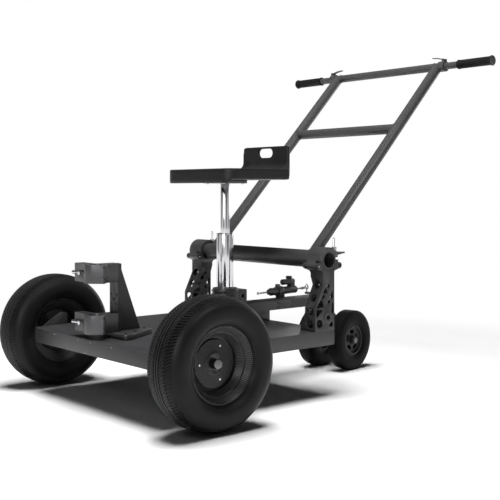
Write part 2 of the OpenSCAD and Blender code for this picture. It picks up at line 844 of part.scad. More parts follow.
// Side view of the seat: pan, sweep up and backrest
function seat_profile() =
    let (
        lip = 16,
        sweep_r = 34,
        back_top = pan_top + back_h,
        back_face = back_y - back_t,
        lip_z = pan_top - lip_h
    ) concat(
        arc([lip / 2 - seat_front, lip_z + lip / 2], lip / 2, 180, 360, 8),
        [[lip + 8 - seat_front, pan_under]],
        arc([back_y - 22, pan_under + 22], 22, 270, 350, 8),
        arc([back_y - back_t / 2, back_top - back_t / 2], back_t / 2, 0, 180, 8),
        arc([back_face - sweep_r, pan_top + sweep_r], sweep_r, 0, -60, 8),
        [[seat_back - 40, pan_top]],
        arc([8 - seat_front, pan_top - 8], 8, 90, 180, 6)
    );

// Plan of the seat, drawn in at the backrest
function seat_plan() =
    let (
        front = seat_corner - seat_front,
        rear_r = 8,
        waist_r = seat_half - back_half,
        waist_y = seat_back + waist_r
    ) concat(
        arc([seat_corner - seat_half, front], seat_corner, 180, 270, 8),
        arc([seat_half - seat_corner, front], seat_corner, 270, 360, 8),
        arc([seat_half - rear_r, seat_back - rear_r], rear_r, 0, 90, 4),
        arc([seat_half, waist_y], waist_r, 262, 180, 8),
        [[back_half, waist_y + over], [-back_half, waist_y + over]],
        arc([-seat_half, waist_y], waist_r, 0, -82, 8),
        arc([rear_r - seat_half, seat_back - rear_r], rear_r, 90, 180, 4)
    );

// Front view of the seat, flaring from the backrest's top corners out to the pan
function seat_front_view() =
    let (
        corner = 12,
        flare_r = 75,
        low = pan_top - lip_h - over,
        turn_z = pan_top + back_h - corner
    ) concat(
        [[-seat_half, low], [seat_half, low], [seat_half, pan_top + 1]],
        arc([back_half + flare_r, turn_z], flare_r, 250, 180, 8),
        arc([back_half - corner, turn_z], corner, 0, 90, 6),
        arc([corner - back_half, turn_z], corner, 90, 180, 6),
        arc([-back_half - flare_r, turn_z], flare_r, 0, -70, 8),
        [[-seat_half, pan_top + 1]]
    );

module seat_shell() {
    slot_z = pan_top + back_h - slot_drop - slot_h;
    slot_reach = slot_half - slot_h / 2;
    color(moulded) from_axle() translate([0, mast_back, 0]) difference() {
        intersection() {
            across(-seat_half, seat_half) polygon(seat_profile());
            translate([0, 0, pan_top - lip_h - over])
                linear_extrude(lip_h + back_h + 2 * over) polygon(seat_plan());
            translate([0, back_y + over, 0]) rotate([90, 0, 0])
                linear_extrude(back_y + seat_front + 2 * over) polygon(seat_front_view());
        }
        translate([0, back_y + over, slot_z + slot_h / 2]) rotate([90, 0, 0])
            linear_extrude(3 * back_t)
                polygon(swell([[-slot_reach, 0], [slot_reach, 0]], slot_h / 2, 12));
    }
}

// Side view of a bracket: trussed body, neck and cradle
module bracket_side() {
    arm = boss_jaw_r * 0.7;
    difference() {
        union() {
            polygon([
                [frame_front, deck_top], [frame_back, deck_top], [frame_back, neck_z],
                [frame_back - neck_depth, neck_z], [frame_front, deck_top + slope_h]
            ]);
            polygon([
                [frame_back - neck_depth, neck_z - 1], [frame_back, neck_z - 1],
                [frame_back, neck_end], [screw_y + arm, hinge_z - arm], [screw_y, hinge_z],
                [hinge_y, hinge_z], [hinge_y - arm, hinge_z - arm],
                [frame_back - neck_depth, neck_end]
            ]);
            translate([cross_back, cross_z]) circle(r = jaw_r);
            translate([screw_y, hinge_z]) circle(r = boss_jaw_r);
            translate([hinge_y, hinge_z]) circle(r = boss_jaw_r);
        }
        translate([cross_back - 2 * jaw_r, cross_z]) square([4 * jaw_r, 2 * jaw_r]);
        translate([cross_back, cross_z]) circle(r = cross_r + fit);
        translate([hinge_y, hinge_z]) circle(r = pin_r + fit);
        bracket_windows();
    }
}

// Windows through the bracket's side, placed from its rear face and the deck's top
module bracket_windows() {
    translate([frame_back, deck_top]) {
        translate([-29.6, 152.5]) circle(r = 6.5);
        polygon(swell([[-49, 131], [-38, 132], [-42, 142]], 3.5));
        polygon(swell([[-17, 112], [-11, 112], [-11, 130]], 3.5));
        polygon(swell([[-60, 112], [-49, 117], [-51, 123]], 3.5));
        translate([-26.1, 98.5]) circle(r = 6);
        polygon(swell([[-80, 84], [-56, 86], [-63, 103]], 4.5));
        polygon(swell([[-83, 54], [-63, 70], [-82, 71]], 4.5));
        polygon(swell([[-12, 66], [-8, 60], [-8, 92]], 3.5));
        translate([-71, 27]) circle(r = 14);
        polygon(swell([[-23, 17], [-12, 17], [-12, 27]], 3.5));
        translate([-ring_back, ring_up]) circle(r = ring_hole_r);
    }
}

// Front view of a bracket: flared foot, straight body, wider cradle
module bracket_front() {
    inner = body_x - frame_w;
    shoulder = (jaw_in + inner) / 2;
    polygon([
        [body_x - frame_foot_w, deck_top], [body_x, deck_top], [body_x, cross_z + over],
        [jaw_in, cross_z + over], [jaw_in, hinge_z - 12], [shoulder, hinge_z - 26],
        [shoulder, hinge_z - 38], [inner, neck_z],
        [inner, deck_top + 64], [body_x - frame_foot_w + 3, deck_top + 18]
    ]);
}

module bracket(side) {
    color(anodised) from_axle() on_side(side) difference() {
        union() {
            intersection() {
                across(jaw_in - over - frame_foot_w + jaw_w, body_x) bracket_side();
                translate([0, frame_back + jaw_r, 0]) rotate([90, 0, 0])
                    linear_extrude(frame_depth + 2 * jaw_r) bracket_front();
            }
            translate([0, frame_back - ring_back, deck_top + ring_up]) difference() {
                bar_x(body_x, body_x + ring_boss_h, 0, 0, ring_boss_r);
                bar_x(body_x - over, body_x + ring_boss_h + over, 0, 0, ring_hole_r);
            }
        }
        for (i = [0 : 3]) bar_y(frame_front - over, frame_back + over,
            body_x - frame_w / 2, deck_top + front_hole_z + i * front_hole_pitch, front_hole_r);
        bar_x(knuckle_mid - cap_knuckle / 2 - gap, knuckle_mid + cap_knuckle / 2 + gap,
            hinge_y, hinge_z, boss_jaw_r + gap);
        across(knuckle_mid - cap_knuckle / 2 - gap, knuckle_mid + cap_knuckle / 2 + gap) polygon([
            [hinge_y - boss_jaw_r - over, hinge_z], [hinge_y + 3, hinge_z],
            [cross_back - cross_r - 2.5, cross_z + over], [hinge_y - boss_jaw_r - over, cross_z + over]
        ]);
        translate([screw_x, screw_y, hinge_z - boss_jaw_r - over])
            cylinder(h = 2 * boss_jaw_r + 2 * over, r = cap_screw_r + fit);
    }
}

module bracket_left() { bracket(1); }
module bracket_right() { bracket(-1); }

// Hinge pins of the two pipe clamps and the two caps
module hinge_pins() {
    for (z = [clamp_low_z, clamp_high_z])
        color(polished) from_axle() translate([knuckle_x, pipe_y, z]) cylinder(h = clamp_h, r = pin_r);
    for (side = [-1, 1])
        color(polished) from_axle() on_side(side) bar_x(jaw_in, body_x, hinge_y, hinge_z, pin_r);
}

// Side view of a cap: ring over the cross tube, lug for the screw
module cap_side() {
    difference() {
        union() {
            translate([cross_back, cross_z]) circle(r = jaw_r);
            polygon([
                [cross_back + 20, lug_under], [cross_back + cap_lug, lug_top - 5],
                [cross_back + cap_lug, lug_top], [cross_back + screw_back - 12, lug_top],
                [cross_back + 30, lug_top + 4], [cross_back + 15, lug_top + 12]
            ]);
        }
        translate([cross_back, cross_z]) circle(r = cross_r + gap);
        translate([cross_back - 2 * jaw_r, cross_z - 2 * jaw_r]) square([4 * jaw_r, 2 * jaw_r + gap]);
        translate([cross_back, cross_z - over]) square([2 * cap_lug, lug_under - cross_z - 4 + over]);
    }
}

// Hinged half of the cross tube's clamp
module cap(side) {
    color(satin) from_axle() on_side(side) difference() {
        union() {
            across(jaw_in, body_x) cap_side();
            across(knuckle_mid - cap_knuckle / 2, knuckle_mid + cap_knuckle / 2) difference() {
                union() {
                    translate([hinge_y, hinge_z]) circle(r = boss_jaw_r);
                    polygon([
                        [hinge_y - boss_jaw_r, hinge_z], [hinge_y, hinge_z],
                        [cross_back - cross_r - 4, cross_z + 1], [cross_back - cross_r - 2, cross_z + 8],
                        [cross_back - jaw_r + 2, cross_z + 12]
                    ]);
                }
                translate([cross_back, cross_z]) circle(r = cross_r + gap);
            }
        }
        bar_x(jaw_in - over, body_x + over, hinge_y, hinge_z, pin_r + fit);
        translate([screw_x, screw_y, lug_under - over])
            cylinder(h = lug_top - lug_under + 2 * over, r = cap_screw_r + fit);
    }
}

module cap_left() { cap(1); }
module cap_right() { cap(-1); }

// Screw captive in a cap, with a forked head for its lever
module cap_screw(side) {
    tip_z = hinge_z + boss_jaw_r + gap;
    color(polished) from_axle() on_side(side) translate([screw_x, screw_y, 0]) union() {
        translate([0, 0, tip_z]) cylinder(h = lug_top - tip_z + 1, r = cap_screw_r);
        translate([0, 0, lug_top]) cylinder(h = 5, r = 9);
        intersection() {
            translate([0, 0, lug_top]) cylinder(h = pivot_z - lug_top + 4, r = 9);
            for (x = [-1, 1]) translate([x * (lever_w / 2 + gap + ear_t / 2), 0, pivot_z - 3])
                cube([ear_t, 12, 16], center = true);
        }
        bar_x(-lever_w / 2 - gap - ear_t / 2, lever_w / 2 + gap + ear_t / 2, 0, pivot_z, 2);
    }
}

module cap_screw_left() { cap_screw(1); }
module cap_screw_right() { cap_screw(-1); }

// Upright lever of a cap
module cap_lever(side) {
    color(polished) from_axle() on_side(side) translate([screw_x, screw_y, pivot_z]) difference() {
        union() {
            bar_x(-lever_w / 2, lever_w / 2, 0, 0, cap_lever_r + 1);
            cylinder(h = cap_lever_l - 2, r = cap_lever_r);
            translate([0, 0, cap_lever_l - 2])
                cylinder(h = 2, r1 = cap_lever_r, r2 = cap_lever_r - 2);
        }
        bar_x(-lever_w, lever_w, 0, 0, 2 + fit);
    }
}

module cap_lever_left() { cap_lever(1); }
module cap_lever_right() { cap_lever(-1); }

module cross_tube() {
    color(anodised) from_axle() difference() {
        bar_x(-tube_half, tube_half, cross_back, cross_z, cross_r);
        bar_x(-tube_half - over, tube_half + over, cross_back, cross_z, cross_r - cross_wall);
    }
}

// Moves a shape to the cross tube's axis, with Z along the handle's legs
module on_handle() {
    from_axle() translate([0, cross_back, cross_z]) rotate([leg_tilt - 90, 0, 0]) children();
}

module handle_legs() {
    for (x = [-leg_x, leg_x]) color(anodised) on_handle() difference() {
        translate([x, 0, 0]) cylinder(h = leg_len - 2, r = leg_r);
        translate([x, 0, -over]) cylinder(h = leg_len + over, r = leg_r - tube_wall);
        bar_x(x - 2 * leg_r, x + 2 * leg_r, 0, 0, cross_r);
        bar_x(x - 2 * leg_r, x + 2 * leg_r, 0, leg_len, tbar_r);
        for (side = [-1, 1]) on_side(side) bar_x(tbar_half - ring_w - fit, tbar_half + ring_w, 0, leg_len,
            tbar_r + ring_t + fit);
    }
}

module crossbar() {
    end = leg_x - 8;
    color(anodised) on_handle() difference() {
        bar_x(-end, end, 0, leg_len * bar_share, bar_r);
        bar_x(-end - over, end + over, 0, leg_len * bar_share, bar_r - tube_wall);
        for (x = [-leg_x, leg_x]) translate([x, 0, 0]) cylinder(h = leg_len, r = leg_r);
    }
}

module t_bar() {
    color(anodised) from_axle() difference() {
        bar_x(-tbar_half, tbar_half, tbar_y, tbar_z, tbar_r);
        bar_x(-tbar_half - over, tbar_half + over, tbar_y, tbar_z, tbar_r - tube_wall);
    }
}

// Split rings that close the T-bar's ends on the grip tubes
module snap_rings() {
    slit = 2.5;
    for (side = [-1, 1]) color(satin) from_axle() on_side(side)
        translate([0, tbar_y, tbar_z]) difference() {
            union() {
                bar_x(tbar_half - ring_w, tbar_half, 0, 0, tbar_r + ring_t);
                for (y = [-1, 1]) translate([snap_x - 5, y * (snap_w / 2 + gap + 1.5) - 1.5, 0])
                    cube([10, 3, snap_z + 5]);
                bar_y(-snap_w / 2 - 3, snap_w / 2 + 3, snap_x, snap_z, 2);
            }
            bar_x(tbar_half - ring_w - over, tbar_half + over, 0, 0, tbar_r + fit);
            translate([tbar_half - ring_w - over, -slit / 2, -tbar_r - ring_t - over])
                cube([ring_w + 2 * over, slit, ring_t + 2 * over]);
        }
}

// Flat lever over a split ring, hinged at its outer end
module snap_lever(side) {
    lift = 10;
    color(polished) from_axle() on_side(side) translate([snap_x, tbar_y, tbar_z + snap_z])
        difference() {
            union() {
                bar_y(-snap_w / 2, snap_w / 2, 0, 0, 3.7);
                translate([0, snap_w / 2, 0]) rotate([90, 0, 0]) linear_extrude(snap_w) polygon([
                    [0, -1], [0, 3.5], [-snap_l / 2, 5.5 + snap_l * sin(lift) / 2],
                    [-snap_l, 3.5 + snap_l * sin(lift)], [-snap_l, snap_l * sin(lift)],
                    [-snap_l / 2, 1.5 + snap_l * sin(lift) / 2]
                ]);
            }
            bar_y(-snap_w, snap_w, 0, 0, 2 + fit);
        }
}

module snap_lever_left() { snap_lever(1); }
module snap_lever_right() { snap_lever(-1); }

module grip_tube(side) {
    start = tbar_half - grip_inside;
    color(anodised) from_axle() on_side(side) difference() {
        bar_x(start, grip_end - 2, tbar_y, tbar_z, slide_r);
        bar_x(start - over, grip_end - 1, tbar_y, tbar_z, slide_r - tube_wall);
    }
}

module grip_tube_left() { grip_tube(1); }
module grip_tube_right() { grip_tube(-1); }

// Rubber grip with a collar at its inner end and a flange at its outer end
module grip(side) {
    collar = 5;
    core = slide_r + fit;
    color(moulded) from_axle() on_side(side) translate([0, tbar_y, tbar_z]) turned_x() polygon([
        [core, grip_start], [grip_r + 1.2, grip_start], [grip_r + 1.2, grip_start + collar],
        [grip_r, grip_start + collar + 2], [grip_r, grip_end - flange_w - 3],
        [flange_r - 1, grip_end - flange_w], [flange_r, grip_end - flange_w + 1],
        [flange_r, grip_end - 1.5], [flange_r - 1.5, grip_end], [0, grip_end],
        [0, grip_end - 2 + fit], [core, grip_end - 2 + fit]
    ]);
}

module grip_left() { grip(1); }
module grip_right() { grip(-1); }

// Moves a shape to the middle of the big wheel on one side, X outwards
module at_wheel(side) {
    from_axle() on_side(side) translate([track / 2, 0, axle_z]) children();
}

// Section of a big tyre, open between its beads
module tyre_section() {
    bead_x = rim_half * 0.75;
    difference() {
        translate([section_r, 0]) polygon(oval(tyre_w / 2, section_h, tyre_square));
        translate([section_r, 0])
            polygon(oval(tyre_w / 2 - tyre_wall, section_h - tyre_wall, tyre_square));
        polygon([
            [0, -rim_half], [rim_r + rim_wall, -rim_half], [seat_wall_r, -step_x],
            [seat_wall_r, step_x], [rim_r + rim_wall, rim_half], [0, rim_half]
        ]);
        translate([0, -bead_x]) square([section_r, 2 * bead_x]);
        for (x = [-groove_x, groove_x])
            translate([tyre_r - groove_d, x - groove_w / 2]) square([groove_d + over, groove_w]);
    }
}

module tyre(side) {
    color(tread_rubber) at_wheel(side) rotate([0, 90, 0]) rotate_extrude($fn = 120) tyre_section();
}

module tyre_left() { tyre(1); }
module tyre_right() { tyre(-1); }

// Half of the rim's stepped inner face, from its mouth to the web
function rim_face() = [
    [rim_r, rim_half], [step_r, step_x], [step_r + 1.5, step_x], [step_r + 1.5, step_x - 3],
    [step_r - 2.5, step_x - 3], [well_r, well_x], [well_r, web_t / 2], [boss_r + gap, web_t / 2]
];
function rim_back() = [
    [well_out_r, 0], [well_out_r, well_x], [seat_wall_r, step_x - 5],
    [seat_wall_r, step_x], [rim_r + rim_wall, rim_half]
];
function flipped(pts) = [for (i = [len(pts) - 1 : -1 : 0]) [pts[i].x, -pts[i].y]];

module rim(side) {
    color(anodised) at_wheel(side) turned_x()
        polygon(concat(rim_face(), flipped(rim_face()), flipped(rim_back()), rim_back()));
}

module rim_left() { rim(1); }
module rim_right() { rim(-1); }

// Barrel, two discs against the rim's web and a cupped boss
module hub(side) {
    face = web_t / 2 + disc_t;
    color(anodised) at_wheel(side) turned_x() polygon([
        [hub_bore, -barrel_in], [boss_r, -barrel_in], [boss_r, -face],
        [disc_r - 1, -face], [disc_r, 1 - face], [disc_r, -web_t / 2], [boss_r, -web_t / 2],
        [boss_r, web_t / 2], [disc_r, web_t / 2], [disc_r, face - 1], [disc_r - 1, face],
        [boss_r, face], [boss_r, boss_end - 1], [boss_r - 1, boss_end],
        [boss_r - cup_wall, boss_end], [boss_r - cup_wall - 2, boss_end - cup_d],
        [hub_bore, boss_end - cup_d]
    ]);
}

module hub_left() { hub(1); }
module hub_right() { hub(-1); }

// Moves a shape to the swivel axis, with Y trailing along the turned caster
module at_caster() {
    from_axle() translate([0, swivel_back, 0]) rotate([0, 0, caster_turn]) children();
}

// Stem, crown and two cheeks down to the small wheels' axle
module caster_fork() {
    crown_r = 36;
    stem_top = arm_top + stem_nut_h - 2;
    color(anodised) at_caster() difference() {
        union() {
            translate([0, 0, crown_under]) cylinder(h = stem_top - crown_under, r = stem_r);
            translate([0, 0, crown_under]) cylinder(h = crown_t, r = crown_r);
            for (side = [-1, 1]) on_side(side) across(cheek_x, cheek_out) polygon(concat(
                [[-crown_r * 0.8, crown_top], [-crown_r * 0.8, crown_under - 4]],
                arc([trail, small_z], cheek_r, 225, 405, 14),
                [[crown_r * 0.8, crown_top]]
            ));
        }
        bar_x(-cheek_out - over, cheek_out + over, trail, small_z, small_axle_r + fit);
    }
}

// Nut on the stem and the arm that the damper holds
module steering_arm() {
    bore = stem_r + fit;
    color(satin) at_caster() difference() {
        union() {
            translate([0, 0, arm_under]) cylinder(h = arm_t, r = stem_nut_r);
            translate([0, 0, arm_under]) cylinder(h = arm_t + stem_nut_h, r = stem_nut_r - 2);
            translate([-arm_l, -arm_boss_r, arm_under]) cube([arm_l, 2 * arm_boss_r, arm_t]);
            translate([-arm_l, 0, arm_under]) cylinder(h = arm_t, r = arm_boss_r);
        }
        translate([0, 0, arm_under - over]) cylinder(h = arm_t + stem_nut_h + 2 * over, r = bore);
    }
}

module caster_axle() {
    end = small_track / 2 + small_half;
    color(polished) at_caster() union() {
        bar_x(-end, end, trail, small_z, small_axle_r);
        for (side = [-1, 1]) on_side(side) {
            bar_x(cheek_out, small_track / 2 - small_half - gap, trail, small_z, small_axle_r + 5);
            bar_x(end + gap, end + 6, trail, small_z, small_axle_r + 3);
            bar_x(end - 1, end + 1, trail, small_z, small_axle_r);
        }
    }
}

// Moves a shape to the middle of a small wheel, X outwards
module at_small(side) {
    at_caster() on_side(side) translate([small_track / 2, trail, small_z]) children();
}

module small_tyre(side) {
    color(tread_rubber) at_small(side) rotate([0, 90, 0]) rotate_extrude($fn = 96) difference() {
        translate([small_section_r, 0]) polygon(oval(small_w / 2, small_section_h + 6, 0.7));
        translate([0, -small_w]) square([small_in_r, 2 * small_w]);
        translate([small_r, -small_w]) square([20, 2 * small_w]);
    }
}

module small_tyre_left() { small_tyre(1); }
module small_tyre_right() { small_tyre(-1); }

// Disc of a small wheel with its oval openings
module small_disc(side) {
    rim_x = small_half - 3;
    oval_r = (small_step_r + small_boss_r) / 2;
    color(moulded) at_small(side) rotate([0, 90, 0]) difference() {
        rotate_extrude() polygon([
            [small_axle_r + fit, -small_half], [small_boss_r, -small_half],
            [small_boss_r, -small_disc_t / 2], [small_step_r, -small_disc_t / 2],
            [small_step_r + 3, -rim_x], [small_in_r, -rim_x],
            [small_in_r, rim_x], [small_step_r + 3, rim_x], [small_step_r, small_disc_t / 2],
            [small_boss_r, small_disc_t / 2], [small_boss_r, small_half],
            [small_axle_r + fit, small_half]
        ]);
        for (i = [0 : oval_n - 1]) rotate([0, 0, (i + 0.5) * 360 / oval_n])
            translate([oval_r, 0, -small_disc_t]) linear_extrude(2 * small_disc_t)
                polygon(swell([[0, oval_w / 2 - oval_l / 2], [0, oval_l / 2 - oval_w / 2]],
                    oval_w / 2, 10));
    }
}

module small_disc_left() { small_disc(1); }
module small_disc_right() { small_disc(-1); }

// Moves a shape to the steering arm's boss, with Y along the damper
module at_damper() {
    at_caster() translate([-arm_l, 0, rod_z]) rotate([0, 0, damper_yaw - caster_turn]) children();
}

// Turns a (radius, Y) section about the damper's axis
module turned_y() {
    rotate([-90, 0, 0]) rotate_extrude() children();
}

// Body of the damper, with its rod running right through
module damper_body() {
    front = -damper_back - body_front;
    rear = body_back - damper_back;
    hole = rod_r + fit;
    nose = body_r - 4;
    waist = body_r - 1.5;
    color(satin) at_damper() turned_y() polygon([
        [hole, front], [nose - 1, front], [nose, front + 1], [nose, front + 8],
        [body_r, front + 12], [body_r, -damper_back - clamp_w / 2 - 1],
        [waist, -damper_back - clamp_w / 2], [waist, -damper_back + clamp_w / 2],
        [body_r, -damper_back + clamp_w / 2 + 1],
        [body_r, rear - 24], [waist, rear - 23], [waist, rear - 19], [body_r, rear - 18],
        [body_r, rear - 6], [nose, rear], [hole, rear]
    ]);
}

// Ring round the damper, with a foot on the beam and a block on top
module damper_clamp() {
    ring_r = body_r + clamp_wall;
    foot_w = 22;
    lean = 6;
    y0 = -damper_back - clamp_w / 2;
    color(satin) at_damper() difference() {
        union() {
            bar_y(y0, y0 + clamp_w, 0, 0, ring_r);
            translate([lean - foot_w / 2, y0, -damper_z]) cube([foot_w, clamp_w, damper_z]);
            translate([-7, y0, 0]) cube([14, clamp_w / 2, ring_r + 8]);
        }
        bar_y(y0 - over, y0 + clamp_w + over, 0, 0, body_r - 1.5);
    }
}

// Reservoir above the damper, with a block down to the body and a seat for the knob
module damper_tank() {
    color(anodised) at_damper() difference() {
        union() {
            translate([0, 0, tank_up]) turned_y() polygon([
                [0, tank_y], [tank_r - 2, tank_y], [tank_r, tank_y + 2],
                [tank_r, tank_y + tank_l - 2], [tank_r - 2, tank_y + tank_l], [0, tank_y + tank_l]
            ]);
            translate([1 - tank_r, tank_y + tank_l - tank_block - 2, 0])
                cube([2 * tank_r - 2, tank_block, tank_up]);
            translate([0, knob_y, tank_up]) cylinder(h = pad_z - tank_up, r = knob_r - 2);
        }
        bar_y(tank_y, tank_y + tank_l, 0, 0, body_r + fit);
        translate([0, knob_y, tank_up + 2]) cylinder(h = pad_z, r = pin_r + fit);
    }
}

module damper_knob() {
    color(moulded) at_damper() translate([0, knob_y, 0]) union() {
        translate([0, 0, tank_up + 4]) cylinder(h = pad_z - tank_up, r = pin_r);
        translate([0, 0, pad_z + gap]) rotate_extrude() polygon([
            [0, 0], [knob_r, 0], [knob_r, knob_h - 1.5], [knob_r - 1.5, knob_h], [0, knob_h]
        ]);
    }
}

// Rod with a ball at its front and an eye and stud over the steering arm
module damper_rod() {
    ball_y = -damper_back - body_front - ball_out;
    stud_low = arm_top + gap - rod_z;
    color(polished) at_damper() union() {
        bar_y(ball_y, 0, 0, 0, rod_r);
        translate([0, ball_y, 0]) sphere(r = ball_r);
        bar_y(-34, -eye_r + 1, 0, 0, rod_r + 1.8);
        translate([0, 0, -5]) cylinder(h = 10, r = eye_r);
        translate([0, 0, stud_low]) cylinder(h = 15 - stud_low, r = stud_r);
        translate([0, 0, 5]) cylinder(h = 5, r = stud_r + 3);
    }
}

deck();
front_axle();
axle_nuts();
axle_plate_left();
axle_plate_right();
tower_base();
tower_post();
tower_gusset();
pipe_saddle_upper();
pipe_saddle_lower();
hinge_pins();
pipe_gate_upper();
pipe_gate_lower();
pipe_lever_upper();
pipe_lever_lower();
spine_beam();
beam_legs();
steering_head();
mast_foot();
mast_tube();
seat_post();
seat_plate();
seat_shell();
bracket_left();
bracket_right();
cap_left();
cap_right();
cap_screw_left();
cap_screw_right();
cap_lever_left();
cap_lever_right();
cross_tube();
handle_legs();
crossbar();
t_bar();
snap_rings();
snap_lever_left();
snap_lever_right();
grip_tube_left();
grip_tube_right();
grip_left();
grip_right();
tyre_left();
tyre_right();
rim_left();
rim_right();
hub_left();
hub_right();
caster_fork();
steering_arm();
caster_axle();
small_tyre_left();
small_tyre_right();
small_disc_left();
small_disc_right();
damper_body();
damper_clamp();
damper_tank();
damper_knob();
damper_rod();
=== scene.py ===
"""Looks of the camera rickshaw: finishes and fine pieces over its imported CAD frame."""

import json
import logging
import math
from dataclasses import dataclass
from enum import Enum
from typing import Iterable, Sequence

import bmesh
import bpy
from mathutils import Matrix, Vector

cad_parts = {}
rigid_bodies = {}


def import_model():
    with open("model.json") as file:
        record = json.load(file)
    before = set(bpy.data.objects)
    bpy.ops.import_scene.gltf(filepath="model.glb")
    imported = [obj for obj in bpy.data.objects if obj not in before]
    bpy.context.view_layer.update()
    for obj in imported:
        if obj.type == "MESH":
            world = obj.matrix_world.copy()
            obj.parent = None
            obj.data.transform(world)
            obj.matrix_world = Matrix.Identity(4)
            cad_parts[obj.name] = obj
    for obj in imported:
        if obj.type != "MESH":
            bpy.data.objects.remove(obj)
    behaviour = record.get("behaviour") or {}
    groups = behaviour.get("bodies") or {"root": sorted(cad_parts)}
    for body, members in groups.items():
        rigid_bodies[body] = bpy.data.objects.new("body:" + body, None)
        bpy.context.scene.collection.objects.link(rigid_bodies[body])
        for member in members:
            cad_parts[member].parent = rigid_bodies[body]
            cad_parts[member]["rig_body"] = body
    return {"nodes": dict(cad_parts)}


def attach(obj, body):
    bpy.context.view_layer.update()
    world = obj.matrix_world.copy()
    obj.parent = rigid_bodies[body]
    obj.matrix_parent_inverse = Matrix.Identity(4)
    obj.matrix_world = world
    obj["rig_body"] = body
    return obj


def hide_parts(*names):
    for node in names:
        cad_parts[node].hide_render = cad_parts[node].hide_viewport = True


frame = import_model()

LOG = logging.getLogger("camera_rickshaw")
Point = tuple[float, float, float]
Socket = bpy.types.NodeSocket
BMesh = bmesh.types.BMesh


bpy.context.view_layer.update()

# places on the cart, in metres
AXLE_Y = -0.5595
AXLE_Z = 0.2
HALF_TRACK = 0.4646
DECK_HALF = 0.3667
MAST_Y = AXLE_Y + 0.4287
LEG_X = 0.273
LEG_WAY = (0.0, 0.709, 0.729)
LEG_LENGTH = 1.0169
LEG_RADIUS = 0.02
CROSS_SPOT = (0.0295, 0.468)
CROSS_RADIUS = 0.0304
BAR_SPOT = (0.4895, 0.941)
BAR_RADIUS = 0.019
TEE_SPOT = (0.7385, 1.197)
TEE_RADIUS = 0.016
GRIP_END = 0.532
ACROSS: Point = (1.0, 0.0, 0.0)
SIDES = ((1, "left"), (-1, "right"))


class Shade(Enum):
    """Finishes that the pieces of the cart wear."""

    ANODISED = "anodised"
    SATIN = "satin"
    POLISHED = "polished"
    TYRE = "tyre"
    SOLID_TYRE = "solid_tyre"
    RIM = "rim"
    GRIP = "grip"
    MOULDED = "moulded"
    TUBE = "tube"
    RIB = "rib"
    STEEL = "steel"
    BLACK_SCREW = "black_screw"
    BRIGHT_SCREW = "bright_screw"


# shader groups


class NodeDesk:
    """Lays out nodes and links in one node tree."""

    def __init__(self, tree: bpy.types.NodeTree) -> None:
        """Keeps the tree.

        Args:
            tree: The tree that gets the nodes.
        """
        self.tree = tree
        self.count = 0

    def add(self, kind: str, **settings: object) -> bpy.types.Node:
        """Adds a node.

        Args:
            kind: The node's type name, such as ShaderNodeMath.
            settings: Properties of the node to set.

        Returns:
            The new node.
        """
        node = self.tree.nodes.new(kind)
        node.location = (180 * (self.count % 8), -220 * (self.count // 8))
        self.count += 1
        for key, value in settings.items():
            setattr(node, key, value)
        return node

    def join(self, source: object, target: object) -> None:
        """Links an output to an input, or sets the input to a plain value."""
        if isinstance(source, Socket):
            self.tree.links.new(source, target)
        else:
            target.default_value = source

    def math(self, operation: str, *values: object, clamp: bool = False) -> Socket:
        """Adds a Math node.

        Args:
            operation: The node's operation.
            values: Sockets or numbers for its inputs.
            clamp: Whether the result is held between 0 and 1.

        Returns:
            The node's output.
        """
        node = self.add("ShaderNodeMath", operation=operation, use_clamp=clamp)
        for i, value in enumerate(values):
            self.join(value, node.inputs[i])
        return node.outputs[0]

    def blend(self, share: object, low: object, high: object) -> Socket:
        """Mixes two colours.

        Args:
            share: Socket or number between 0 and 1.
            low: Colour at 0.
            high: Colour at 1.

        Returns:
            The mixed colour.
        """
        node = self.add("ShaderNodeMix", data_type="RGBA")
        self.join(share, node.inputs[0])
        self.join(low, node.inputs[6])
        self.join(high, node.inputs[7])
        return node.outputs[2]

    def span(self, value: object, low: float, high: float, out_low: float, out_high: float) -> Socket:
        """Maps a value from one range to another, held at the ends."""
        node = self.add("ShaderNodeMapRange", interpolation_type="SMOOTHSTEP")
        self.join(value, node.inputs["Value"])
        for key, number in (("From Min", low), ("From Max", high), ("To Min", out_low), ("To Max", out_high)):
            node.inputs[key].default_value = number
        return node.outputs["Result"]

    def noise(self, place: Socket, **inputs: object) -> Socket:
        """Adds a noise texture with values or sockets for its inputs, and gives its Fac."""
        node = self.add("ShaderNodeTexNoise")
        self.join(place, node.inputs["Vector"])
        for key, value in inputs.items():
            self.join(value, node.inputs[key])
        return node.outputs["Fac"]

    def white_light(self, strength: object) -> Socket:
        """Adds a white world background of a given strength."""
        node = self.add("ShaderNodeBackground")
        node.inputs["Color"].default_value = (1, 1, 1, 1)
        self.join(strength, node.inputs["Strength"])
        return node.outputs[0]

    def mixed(self, share: object, first: Socket, second: Socket) -> Socket:
        """Mixes two shaders."""
        node = self.add("ShaderNodeMixShader")
        for i, value in enumerate((share, first, second)):
            self.join(value, node.inputs[i])
        return node.outputs[0]


class GroupDesk(NodeDesk):
    """Lays out a shader group that reads a Vector and some numbers, and gives numbers."""

    def __init__(self, name: str, numbers: dict[str, float], results: Sequence[str]) -> None:
        """Makes the group with its sockets.

        Args:
            name: The group's name.
            numbers: Its inputs beside the Vector, with their defaults.
            results: Its outputs.
        """
        super().__init__(bpy.data.node_groups.new(name, "ShaderNodeTree"))
        sockets = self.tree.interface
        sockets.new_socket(name="Vector", in_out="INPUT", socket_type="NodeSocketVector")
        for label, default in numbers.items():
            sockets.new_socket(name=label, in_out="INPUT", socket_type="NodeSocketFloat").default_value = default
        for label in results:
            sockets.new_socket(name=label, in_out="OUTPUT", socket_type="NodeSocketFloat")
        self.given = self.add("NodeGroupInput").outputs
        self.results = self.add("NodeGroupOutput").inputs


